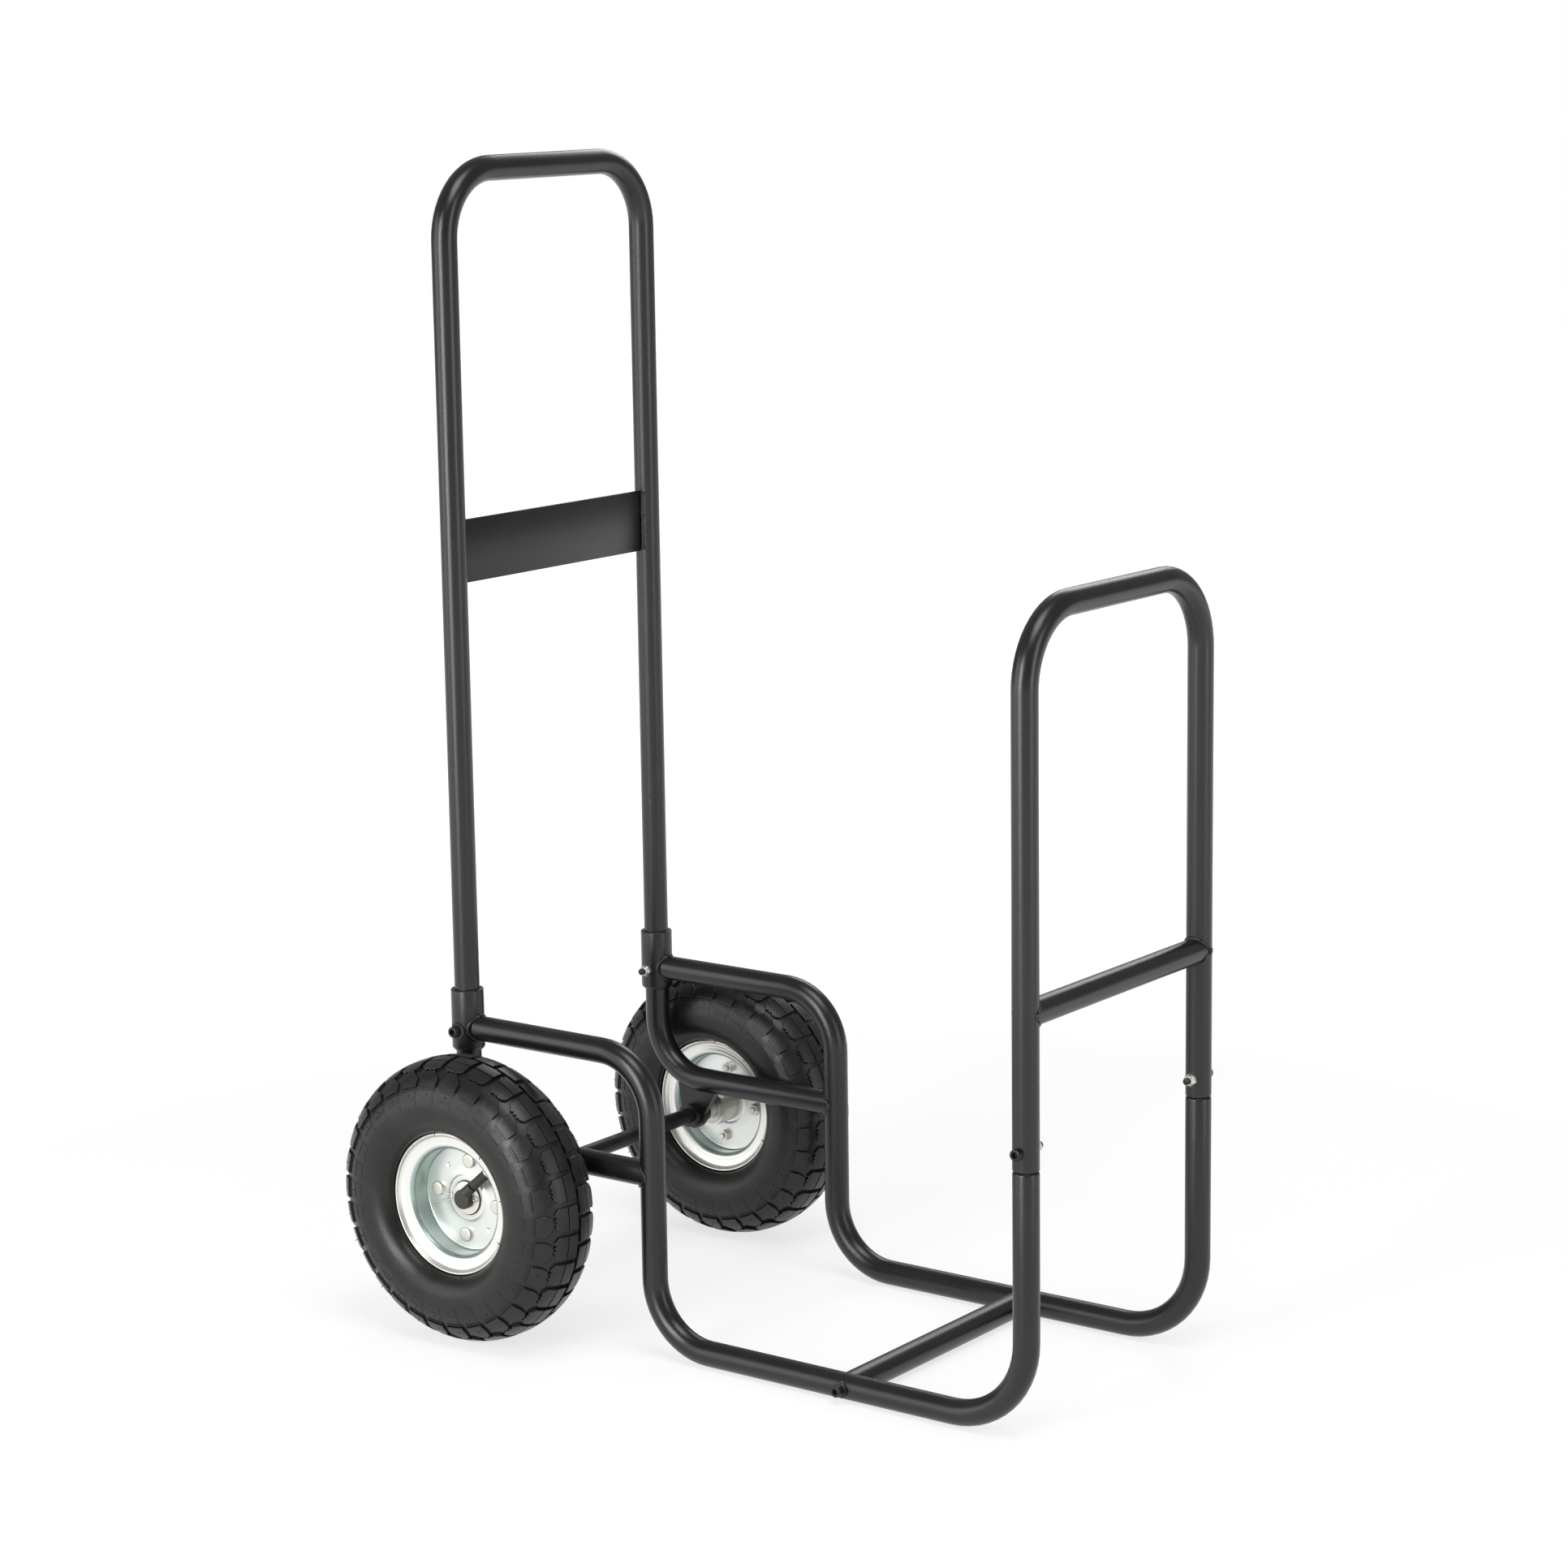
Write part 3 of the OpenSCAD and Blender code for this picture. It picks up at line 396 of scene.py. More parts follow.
# %% Black steel, plastic and nylon
def plain_finish(name, dark, light, roughness, metallic, bump, scale=600):
    tree, shader = new_finish(name, roughness, metallic)
    point = object_point(tree)
    mottle = grain(tree, point, 60, detail=4)
    fine = grain(tree, point, scale, detail=2)
    coloured(tree, shader, mottle, 0.35, 0.65, dark, light)
    roughened(tree, shader, mottle, roughness - 0.06, roughness + 0.08)
    bumped(tree, shader, fine, 0.0004, bump)


plain_finish("black_oxide", srgb(26, 26, 27), srgb(38, 38, 39), 0.36, 0.4, 0.1)
plain_finish("black_plastic", srgb(40, 40, 40), srgb(50, 50, 49), 0.5, 0, 0.15, 900)
plain_finish("valve_rubber", srgb(34, 34, 32), srgb(46, 46, 43), 0.55, 0, 0.2, 700)
plain_finish("tube_rubber", srgb(26, 26, 26), srgb(34, 34, 34), 0.7, 0, 0.2)
plain_finish("nylon", srgb(214, 218, 222), srgb(226, 230, 232), 0.45, 0, 0.05)
print("finishes so far:", list(finishes))

# %% [markdown]
# ## Tyre rubber
#
# New moulded rubber is a warm dark grey with a dry bloom. The bloom is patchy and it
# scatters light at grazing angles, so the shader gets a little sheen. A fine noise gives
# the skin of the mould and sparse specks of dust.

# %% Tyre rubber
tree, shader = new_finish("tyre_rubber", 0.45)
point = object_point(tree)
bloom = grain(tree, point, 26, detail=5, roughness=0.62)
dust = grain(tree, point, 420, detail=2)
skin = grain(tree, point, 900, detail=2)
tint = mixed(tree, between(tree, bloom, 0.34, 0.7), srgb(17, 16, 15), srgb(28, 27, 25))
dusty = mixed(tree, between(tree, dust, 0.72, 0.8, 0, 0.5), tint, srgb(92, 84, 76))
tree.links.new(dusty, shader.inputs["Base Color"])
roughened(tree, shader, bloom, 0.27, 0.42)
shader.inputs["Specular IOR Level"].default_value = 0.42
shader.inputs["Sheen Weight"].default_value = 0.03
shader.inputs["Sheen Roughness"].default_value = 0.4
bumped(tree, shader, skin, 0.0005, 0.18)
print("tyre rubber has", len(tree.nodes), "shader nodes")

# %% [markdown]
# ## Finishes for the frame's own solids
#
# A solid that is right as it stands only needs its finish. Each one's material slot in
# the frame has the name of its finish, so one loop dresses them all. Only the rims have a
# finish for each side, because its rings are centred on the wheel.

# %% Dress the solids
def finish_for(slot, name):
    side = "left" if name.endswith("left") else "right"
    return finishes[f"rim_zinc_{side}" if slot == "rim_zinc" else slot]


for part in frame["record"]["subparts"]:
    solid = nodes[part["node"]]
    solid.data.materials.clear()
    solid.data.materials.append(finish_for(part["material_slot"], part["node"]))

# %% [markdown]
# ## Finishing a piece
#
# Every new piece ends the same way. A piece for the left side is the right one mirrored
# across the cart, with its faces turned back, because a mirror turns a shape inside out.

# %% Finish a piece
def finish_piece(name, mesh, body, slot, stands_for=(), sharp=35):
    data = bpy.data.meshes.new(name)
    mesh.to_mesh(data)
    mesh.free()
    data.materials.append(finish_for(slot, name))
    data.shade_smooth()
    data.set_sharp_from_angle(angle=radians(sharp))
    piece = bpy.data.objects.new(name, data)
    bpy.context.scene.collection.objects.link(piece)
    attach(piece, body)
    if stands_for:
        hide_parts(*stands_for)
    print(f"{name}: {len(data.polygons)} faces")
    return piece


def across(mesh):
    other = mesh.copy()
    bmesh.ops.scale(other, vec=(1, -1, 1), verts=other.verts)
    bmesh.ops.reverse_faces(other, faces=other.faces)
    return other


def moved(mesh, matrix):
    bmesh.ops.transform(mesh, matrix=matrix, verts=mesh.verts)
    return mesh


def pair(name, mesh, bodies, slot, stands_for, sharp):
    for side, body, shape in (("right", bodies[0], mesh.copy()), ("left", bodies[1], across(mesh))):
        finish_piece(f"{name}_{side}", shape, body, slot, [f"{node}_{side}" for node in stands_for], sharp)
    mesh.free()


def side_pair(name, mesh, slot, stands_for=(), sharp=35):
    pair(name, mesh, ("frame", "frame"), slot, stands_for, sharp)


def both_ends(mesh):
    everything = mesh.verts[:] + mesh.edges[:] + mesh.faces[:]
    bmesh.ops.mirror(mesh, geom=everything, axis="Y", merge_dist=-1)
    bmesh.ops.recalc_face_normals(mesh, faces=mesh.faces)
    return mesh


def wheel_pair(name, mesh, slot, stands_for=(), sharp=35):
    pair(name, moved(mesh, ON_AXLE), ("wheel_right", "wheel_left"), slot, stands_for, sharp)


# %% [markdown]
# ## Bending tube
#
# The frame is steel tube bent cold on a round former, so every path is straights and
# quarter turns. Here a ring of vertices is walked along the path: extrude carries it
# through a straight, and spin carries it round a bend about the former's centre. The
# outer and the inner skin follow the same path, and their end loops are bridged, which
# leaves a closed tube with a real wall.

# %% Bend a tube
WALL = 1.5 * MM
TUBE_SIDES = 40


def new_ring(mesh, radius, matrix, sides=TUBE_SIDES):
    verts = bmesh.ops.create_circle(mesh, segments=sides, radius=radius, matrix=matrix)["verts"]
    return verts, list({e for v in verts for e in v.link_edges})


def carried(found):
    verts = [g for g in found if isinstance(g, bmesh.types.BMVert)]
    edges = [g for g in found if isinstance(g, bmesh.types.BMEdge)]
    return verts, edges


def tube_skin(mesh, start, heading, path, radius):
    place, ahead = Vector(start), Vector(heading)
    turn = ahead.to_track_quat("Z", "Y").to_matrix().to_4x4()
    verts, edges = new_ring(mesh, radius, Matrix.Translation(place) @ turn)
    first = (verts, edges)
    for step in path:
        if step[0] == "run":
            verts, edges = carried(bmesh.ops.extrude_edge_only(mesh, edges=edges)["geom"])
            bmesh.ops.translate(mesh, vec=ahead * step[1], verts=verts)
            place = place + ahead * step[1]
        elif step[0] == "bend":
            _, bend_radius, axis = step
            axis = Vector(axis)
            former = place + axis.cross(ahead) * bend_radius
            spun = bmesh.ops.spin(
                mesh, geom=verts + edges, cent=former, axis=axis, angle=radians(90), steps=14,
                use_merge=False, use_duplicate=False,
            )
            verts, edges = carried(spun["geom_last"])
            quarter = Matrix.Rotation(radians(90), 3, axis)
            place = former + quarter @ (place - former)
            ahead = quarter @ ahead
        else:
            _, length, share = step
            verts, edges = carried(bmesh.ops.extrude_edge_only(mesh, edges=edges)["geom"])
            bmesh.ops.translate(mesh, vec=ahead * length, verts=verts)
            place = place + ahead * length
            bmesh.ops.scale(mesh, vec=(share,) * 3, verts=verts, space=Matrix.Translation(-place))
    return first, (verts, edges)


def close_walls(mesh, outer, inner):
    for a, b in zip(outer, inner):
        bmesh.ops.bridge_loops(mesh, edges=a[1] + b[1])
    bmesh.ops.recalc_face_normals(mesh, faces=mesh.faces)


def two_skins(start, heading, path):
    mesh = bmesh.new()
    return mesh, *[tube_skin(mesh, start, heading, path, radius) for radius in (R, R - WALL)]


def bent_tube(start, heading, path):
    mesh, outer, inner = two_skins(start, heading, path)
    close_walls(mesh, outer, inner)
    return mesh


print("a tube ring has", TUBE_SIDES, "sides")

# %% [markdown]
# ## Handle and hoop
#
# The handle and the hoop are the same kind of part, an upside-down U. Each path starts at
# the foot of the right leg, climbs, turns across the cart, and comes down again. Their
# bend radii are the two that the solid model uses.

# %% Handle and hoop
HANDLE_BEND, HOOP_BEND = 0.062, 0.066


def upright_u(x, foot, top, bend):
    rise = top - R - bend - foot
    bar = 2 * (side_y - bend)
    up, corner = ("run", rise), ("bend", bend, (-1, 0, 0))
    return bent_tube((x, -side_y, foot), (0, 0, 1), [up, corner, ("run", bar), corner, up])


for name, node, x, bend in (
    ("handle_tube", "handle_frame", handle_x, HANDLE_BEND), ("hoop_tube", "front_hoop", hoop_x, HOOP_BEND),
):
    low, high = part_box(node)
    finish_piece(name, upright_u(x, low.z, high.z, bend), "frame", "powder_coat", [node])

# %% [markdown]
# ## Side frames
#
# One long tube makes each side: a rail, the rear upright, the run along the ground and
# the front upright. The end of the front upright is swaged, which means squeezed to a
# smaller diameter, so that it slips up inside the hoop's leg. A quarter-round shoulder
# leads into the neck, and only its top edge shows under the hoop as a bright line.

# %% Side frames
RAIL_BEND, GROUND_BEND, FRONT_BEND = 0.055, 0.060, 0.074
JOINT_GAP = 0.8 * MM
SHOULDER = [(0.9, 0.982), (0.8, 0.955), (0.6, 0.93), (0.3, 0.978)]
shoulder_rise = sum(length for length, _ in SHOULDER) * MM
rail_start = handle_x + 0.0135
rail_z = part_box("side_frame_right")[1].z - R
upright_x = handle_x + 0.212
run_z = R
joint_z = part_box("front_hoop")[0].z - JOINT_GAP


def side_path():
    path = [
        ("run", upright_x - RAIL_BEND - rail_start), ("bend", RAIL_BEND, (0, 1, 0)),
        ("run", rail_z - RAIL_BEND - run_z - GROUND_BEND), ("bend", GROUND_BEND, (0, -1, 0)),
        ("run", hoop_x - FRONT_BEND - upright_x - GROUND_BEND), ("bend", FRONT_BEND, (0, -1, 0)),
        ("run", joint_z - shoulder_rise - run_z - FRONT_BEND),
    ]
    path += [("neck", length * MM, share) for length, share in SHOULDER]
    return path + [("run", 0.042)]


side_tube = bent_tube((rail_start, -side_y, rail_z), (1, 0, 0), side_path())
side_pair("side_tube", side_tube, "powder_coat", ["side_frame"])

# %% [markdown]
# ## Cutting tube ends to fit
#
# Where one tube meets another, its end is cut to a fish mouth that fits the other tube's
# round. The last ring of the straight tube is simply slid along until each vertex touches
# the other tube's surface. The same curve then carries the weld: a ring of metal laid
# round the joint, a little uneven because it is laid by hand in short runs.

# %% Fish mouths and weld beads
RIPPLES = 34
BEAD = 1.9 * MM


def reach_round(point, along, centre, axis, radius):
    away = point - centre
    away -= away.dot(axis) * axis
    forward = away.dot(along)
    inside = max(forward * forward - away.length_squared + radius * radius, 0)
    return -forward - sqrt(inside)


def fish_mouth(verts, along, centre, axis, radius):
    for vert in verts:
        vert.co += along * reach_round(vert.co, along, centre, axis, radius)


def weld_ring(centre, along, ring_radius, bead, other=None, seed=0.0):
    """A bead round a tube end, or round its fish mouth where the other tube is given."""
    mesh = bmesh.new()
    turn = along.to_track_quat("Z", "Y").to_matrix().to_4x4()
    spot = Matrix.Translation((ring_radius, 0, 0)) @ Matrix.Rotation(radians(90), 4, "X")
    verts, edges = new_ring(mesh, bead, spot, sides=10)
    bmesh.ops.spin(
        mesh, geom=verts + edges, cent=(0, 0, 0), axis=(0, 0, 1), angle=tau, steps=3 * RIPPLES,
        use_merge=True, use_duplicate=False,
    )
    bmesh.ops.remove_doubles(mesh, verts=mesh.verts, dist=bead * 0.02)
    for vert in mesh.verts:
        angle = atan2(vert.co.y, vert.co.x)
        middle = Vector((cos(angle), sin(angle), 0)) * ring_radius
        uneven = noise.noise(Vector((cos(angle) * 2, sin(angle) * 2, seed)))
        swell = 1 + 0.06 * sin(RIPPLES * angle) + 0.2 * uneven
        vert.co = middle + (vert.co - middle) * swell
        at = centre + turn.to_3x3() @ middle
        shift = reach_round(at, along, *other) if other else 0
        vert.co = centre + turn.to_3x3() @ vert.co + along * shift
    bmesh.ops.recalc_face_normals(mesh, faces=mesh.faces)
    return mesh


def joined(meshes):
    whole = bmesh.new()
    for mesh in meshes:
        data = bpy.data.meshes.new("part")
        mesh.to_mesh(data)
        whole.from_mesh(data)
        bpy.data.meshes.remove(data)
        mesh.free()
    return whole


def fitted_bar(x, z, other_axis, name, node):
    length = 2 * (side_y - R) - 0.004
    mesh, outer, inner = two_skins((x, -length / 2, z), (0, 1, 0), [("run", length)])
    for end, along in ((0, -OUT), (1, OUT)):
        centre = Vector((x, along.y * side_y, z))
        for skin in (outer, inner):
            fish_mouth(skin[end][0], along, centre, other_axis, R)
    close_walls(mesh, outer, inner)
    finish_piece(name, mesh, "frame", "powder_coat", [node])


bar_z = centre_of("hoop_crossbar").z
cross_tube_x = centre_of("cross_tube").x
fitted_bar(hoop_x, bar_z, UP, "hoop_bar", "hoop_crossbar")
fitted_bar(cross_tube_x, run_z, AHEAD, "lower_bar", "cross_tube")
bead_r = R + 0.2 * MM
beads = []
for side in (-1, 1):
    leg = (Vector((hoop_x, side * side_y, bar_z)), UP, R)
    start = Vector((hoop_x, side * (side_y - R - 0.006), bar_z))
    beads.append(weld_ring(start, OUT * side, bead_r, BEAD, leg, seed=side))
finish_piece("hoop_bar_welds", joined(beads), "frame", "powder_coat", sharp=70)

# %% [markdown]
# ## Rear legs and collars
#
# A collar, turned from thicker tube, takes the foot of the handle. The rail is welded to
# its front, and the rear leg hangs from its underside, bends forward and is welded to the
# upright as a strut. Each of these joints gets its own ring of weld.

# %% Rear legs and collars
STRUT_Z = 0.166
seat_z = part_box("rear_leg_right")[1].z
leg_path = [
    ("run", seat_z - STRUT_Z - RAIL_BEND), ("bend", RAIL_BEND, (0, -1, 0)),
    ("run", upright_x - handle_x - RAIL_BEND - R - 0.002),
]
leg, outer, inner = two_skins((handle_x, -side_y, seat_z), (0, 0, -1), leg_path)
for skin in (outer, inner):
    fish_mouth(skin[1][0], AHEAD, Vector((upright_x, -side_y, STRUT_Z)), UP, R)
close_walls(leg, outer, inner)
side_pair("rear_leg_tube", leg, "powder_coat", ["rear_leg"])

collar_low, collar_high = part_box("handle_collar_right")
collar_r = (collar_high.x - collar_low.x) / 2


def outline_mesh(points):
    mesh = bmesh.new()
    rim = [mesh.verts.new((radius, 0, height)) for radius, height in points]
    for a, b in zip(rim, rim[1:] + rim[:1]):
        mesh.edges.new((a, b))
    return mesh


def turned(points, steps=96):
    mesh = outline_mesh(points)
    bmesh.ops.spin(
        mesh, geom=mesh.verts[:] + mesh.edges[:], axis=(0, 0, 1), cent=(0, 0, 0),
        steps=steps, angle=tau, use_merge=True,
    )
    bmesh.ops.remove_doubles(mesh, verts=mesh.verts, dist=1e-4)
    bmesh.ops.dissolve_degenerate(mesh, dist=1e-8, edges=mesh.edges)
    bmesh.ops.recalc_face_normals(mesh, faces=mesh.faces)
    return mesh


def arc(centre_r, centre_z, radius, start, end, steps=6):
    angles = [radians(start + (end - start) * i / steps) for i in range(steps + 1)]
    return [(centre_r + radius * cos(a), centre_z + radius * sin(a)) for a in angles]


tall = (collar_high.z - collar_low.z) / MM
wide = collar_r / MM
ease = 1.2
collar_outline = [(tube_radius + 0.15, 0), (wide - 1.4, 0)] + arc(wide - ease, ease, ease, -90, 0, 4)
collar_outline += arc(wide - ease, tall - ease, ease, 0, 90, 4) + [(tube_radius + 0.15, tall)]
collar = moved(turned(collar_outline, 64), Matrix.Translation((handle_x, -side_y, collar_low.z)) @ TO_METRES)
side_pair("collar", collar, "powder_coat", ["handle_collar"])
spot = Vector((handle_x, -side_y, 0))
upright = (Vector((upright_x, -side_y, STRUT_Z)), UP, R)
beads = joined([
    weld_ring(spot + AHEAD * 0.016 + UP * rail_z, -AHEAD, bead_r, BEAD, (spot, UP, collar_r), seed=3),
    weld_ring(Vector((upright_x - R - 0.008, -side_y, STRUT_Z)), AHEAD, bead_r, BEAD, upright, seed=4),
    weld_ring(spot + UP * (collar_low.z - 0.0002), UP, R + 0.0010, 0.0014, seed=5),
])
side_pair("side_welds", beads, "powder_coat", sharp=70)

# %% [markdown]
# ## Handle plate
#
# The plate is flat strip between the handle's legs. It is welded along both ends on the
# face and back, and each run starts and stops in a small blob at the corner. The plate
# starts as a cube stretched to the size that the frame gives, and every edge is eased.

# %% Handle plate
def eased(mesh, edges, width, segments):
    bmesh.ops.bevel(
        mesh, geom=edges, offset=width, offset_type="OFFSET", segments=segments, profile=0.5,
        affect="EDGES", material=-1, clamp_overlap=True,
    )


low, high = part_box("handle_plate")
plate = bmesh.new()
bmesh.ops.create_cube(plate, size=1)
bmesh.ops.scale(plate, vec=(high.x - low.x, 2 * (side_y - R + 0.0022), high.z - low.z), verts=plate.verts)
bmesh.ops.translate(plate, vec=(low + high) / 2, verts=plate.verts)
eased(plate, plate.edges[:], 0.5 * MM, 2)
finish_piece("plate", plate, "frame", "powder_coat", ["handle_plate"])


def weld_run(x, y, bottom, top, seed, steps=44):
    mesh = bmesh.new()
    verts, edges = new_ring(mesh, BEAD, Matrix.Translation((x, y, bottom)), sides=8)
    bmesh.ops.contextual_create(mesh, geom=edges)
    for i in range(steps):
        verts, edges = carried(bmesh.ops.extrude_edge_only(mesh, edges=edges)["geom"])
        bmesh.ops.translate(mesh, vec=(0, 0, (top - bottom) / steps), verts=verts)
    bmesh.ops.contextual_create(mesh, geom=edges)
    for vert in mesh.verts:
        t = (vert.co.z - bottom) / (top - bottom)
        ends = 1 + 0.75 * exp(-((min(t, 1 - t) * (top - bottom)) / 0.003) ** 2)
        swell = ends * (1 + 0.14 * sin(t * 95) + 0.3 * noise.noise(Vector((t * 9, seed, 0))))
        vert.co.x = x + (vert.co.x - x) * swell
        vert.co.y = y + (vert.co.y - y) * swell
    bmesh.ops.recalc_face_normals(mesh, faces=mesh.faces)
    return mesh


plate_mid = (low.x + high.x) / 2
leg_side = side_y - R + 0.0006
inset = 1.2 * MM
runs = [
    weld_run(plate_mid + face * 0.0026, end * leg_side, low.z + inset, high.z - inset, 5 * face + end)
    for face in (-1, 1) for end in (-1, 1)
]
finish_piece("plate_welds", joined(runs), "frame", "powder_coat", sharp=70)

# %% [markdown]
# ## Screws and lock nuts
#
# M6 socket screws pin the joints. A fastener is a stack of loops that are bridged from one
# to the next. All loops have the same number of vertices, and a hexagon is a ring whose
# vertices were slid out to its flats, so a round head can run into a hexagonal socket.
# The lock nut is the same trick turned inside out, with a round crown on top.

# %% Screw and nut shapes
SIDES = 24
THREAD_R, ROOT_R = 3, 2.62
HEAD_R, HEAD_L, KEY = 5.0, 6.0, 5.0
NUT_WIDTH, NUT_TALL, HEX_TALL = 10.0, 7.0, 5.0


def ring_at(mesh, radius, z):
    return new_ring(mesh, radius, Matrix.Translation((0, 0, z)), SIDES)


def rings(mesh, outline):
    return [ring_at(mesh, radius, z) for radius, z in outline]


def hexagon(mesh, across_flats, z):
    verts, edges = ring_at(mesh, across_flats / 2, z)
    for vert in verts:
        turn = (degrees(atan2(vert.co.y, vert.co.x)) % 60) - 30
        stretch = 1 / cos(radians(turn))
        vert.co.x, vert.co.y = vert.co.x * stretch, vert.co.y * stretch
    return verts, edges


def stacked(mesh, loops):
    for a, b in zip(loops, loops[1:]):
        bmesh.ops.bridge_loops(mesh, edges=a[1] + b[1])


def socket_screw(shaft, turns=0):
    """Head above the origin, shaft below it, in millimetres, with so many turns of thread."""
    mesh = bmesh.new()
    key_depth = HEAD_L * 0.55
    loops = [hexagon(mesh, KEY, HEAD_L - key_depth), hexagon(mesh, KEY, HEAD_L - 0.15)]
    loops.append(hexagon(mesh, KEY + 0.3, HEAD_L))
    loops += rings(mesh, [
        (HEAD_R - 0.7, HEAD_L), (HEAD_R - 0.2, HEAD_L - 0.2), (HEAD_R, HEAD_L - 0.7), (HEAD_R, 0.3),
        (HEAD_R - 0.3, 0), (THREAD_R, 0), (THREAD_R, turns - shaft),
    ])
    for i in range(turns):
        base = turns - shaft - i
        loops += rings(mesh, [(ROOT_R, base - 0.25), (THREAD_R, base - 0.75)])
    loops.append(ring_at(mesh, 2.2, -shaft - 0.05))
    stacked(mesh, loops)
    bmesh.ops.contextual_create(mesh, geom=loops[0][1])
    bmesh.ops.contextual_create(mesh, geom=loops[-1][1])
    bmesh.ops.recalc_face_normals(mesh, faces=mesh.faces)
    return mesh


def lock_nut():
    mesh = bmesh.new()
    half, bore = NUT_WIDTH / 2, THREAD_R + 0.05
    loops = [*rings(mesh, [(bore, 0), (half - 0.1, 0)]), hexagon(mesh, NUT_WIDTH, 0.55)]
    loops.append(hexagon(mesh, NUT_WIDTH, HEX_TALL - 0.75))
    loops += rings(mesh, [
        (half - 0.25, HEX_TALL), (half - 0.4, NUT_TALL - 0.9), (half - 0.7, NUT_TALL - 0.25),
        (half - 1.1, NUT_TALL), (half - 1.3, NUT_TALL - 0.1), (half - 1.3, HEX_TALL + 0.1),
        (bore, HEX_TALL + 0.1),
    ])
    stacked(mesh, loops + loops[:1])
    bmesh.ops.recalc_face_normals(mesh, faces=mesh.faces)
    return mesh


def through_leg(mesh, x, face_y, z, turn, spin):
    """Stands a fastener on a leg of the right side, along Y, turned out or in."""
    facing = Matrix.Rotation(radians(turn), 4, "X") @ Matrix.Rotation(spin, 4, "Z")
    return moved(mesh, Matrix.Translation((x, face_y, z)) @ facing @ TO_METRES)


# %% [markdown]
# ## Fitting the fasteners
#
# The heads sit outside and the nuts inside. At the collar and the lower bar a curved
# saddle washer spreads the load, so those heads stand a little further out. The places
# come from the solids that these pieces stand for.

# %% Fit the fasteners
hoop_screw_z = centre_of("hoop_screws").z
handle_screw_z = centre_of("handle_screws").z
tube_face = -side_y - R
collar_face = -side_y - collar_r
washer_t = 1.6
past_nut = NUT_TALL + 3.5
hoop_shaft = 2 * tube_radius + past_nut
handle_shaft = washer_t + 2 * wide + past_nut
into_bar = 20
bar_shaft = washer_t + 2 * tube_radius + into_bar

fasteners = [
    ("hoop_bolts", "hoop_screws", socket_screw(hoop_shaft, 10), hoop_x, tube_face, hoop_screw_z, 0.2),
    ("handle_bolts", "handle_screws", socket_screw(handle_shaft, 10), handle_x,
     collar_face - washer_t * MM, handle_screw_z, 0.5),
    ("bar_bolts", "cross_tube_screws", socket_screw(bar_shaft), cross_tube_x,
     tube_face - washer_t * MM, run_z, 0.35),
    ("hoop_lock_nuts", "hoop_nuts", lock_nut(), hoop_x, -side_y + R, hoop_screw_z, 0.3),
    ("handle_lock_nuts", "handle_nuts", lock_nut(), handle_x, -side_y + collar_r, handle_screw_z, 0.1),
]
for name, node, mesh, x, face, z, spin in fasteners:
    slot, turn = ("black_oxide", 90) if node.endswith("screws") else ("bright_zinc", -90)
    fitted = both_ends(through_leg(mesh, x, face, z, turn, spin))
    finish_piece(name, fitted, "frame", slot, [node], sharp=30)

# %% [markdown]
# ## The tyre's casing
#
# The casing is one thick skin from foot to foot. A real tyre's section is a little squarer
# than a circle, and the formula for that is the one the solid model uses. A smooth curve
# through a few points leads from there to the rim's lip, and a plain arc gives the inside.
# A fine ridge runs round the middle of the tread, where the halves of the mould met.

# %% Casing outline
lip = size_of("rim_outer_right").x / 2
LUG = 3.0
SKIN = 5
SQUARE = 2.3
side_centre = tyre_radius - LUG - half_width


def crown_point(turn):
    """On the casing's round: 90 degrees is its widest place, and 0 the middle of the tread."""
    along, across_it = cos(radians(turn)), sin(radians(turn))
    return side_centre + half_width * along ** (2 / SQUARE), half_width * across_it ** (2 / SQUARE)


def through_two(a, b, c, d, t):
    """Runs smoothly from b at t = 0 to c at t = 1, with a before them and d after."""
    return 0.5 * (2 * b + (c - a) * t + (2 * a - 5 * b + 4 * c - d) * t**2 + (3 * b - a - 3 * c + d) * t**3)


def smooth(points, steps=3):
    ends = [points[0], *points, points[-1]]
    curve = []
    for four in zip(ends, ends[1:], ends[2:], ends[3:]):
        for i in range(steps):
            curve.append(tuple(through_two(*values, i / steps) for values in zip(*four)))
    return [*curve, points[-1]]


def flip(points):
    return [(r, -z) for r, z in reversed(points)]


foot_half = [(51.0, 12.6), (51.0, 14.6), (52.2, 17.0), (54.8, 18.2), (59.5, 18.3), (62.6, 19.1), (65.0, 21.6)]
side_half = smooth([
    (lip + 0.8, 25.4), (lip + 1.1, 28.6), (lip + 3.2, 32.4), (lip + 7.0, 36.0),
    (lip + 12.2, 38.9), (lip + 17.6, 40.4),
])
crown_half = [crown_point(turn) for turn in range(86, 0, -3)]
outer_half = side_half + crown_half
crown_r = crown_half[-1][0]
seam = [(crown_r, 0.7), (crown_r + 0.5, 0.3), (crown_r + 0.5, 0)]
half = foot_half + outer_half + seam
inner_half = arc(side_centre, 0, half_width - SKIN, 0, 96, 12)
inner_half += [(79.0, 34.5), (72.8, 31.4), (69.0, 25.0), (63.8, 16.6), (59.8, 12.6)]
casing = turned(half + flip(half)[1:] + flip(inner_half) + inner_half[1:], 144)
wheel_pair("tyre_casing", casing, "tyre_rubber", ["tyre"])

# %% [markdown]
# ## Laying out the tread
#
# The mould repeats one pattern thirty times round the tyre. It is easiest to draw one
# repeat flat, with the distance from the middle of the tread along X and the way round
# along Y, and to wrap it afterwards. The wrap walks along the casing's own curve, so a
# block near the shoulder leans outwards as a real one does. Extrude gives a block its
# height, bevel eases its rubbed edges, and a few cuts let it bend with the casing.

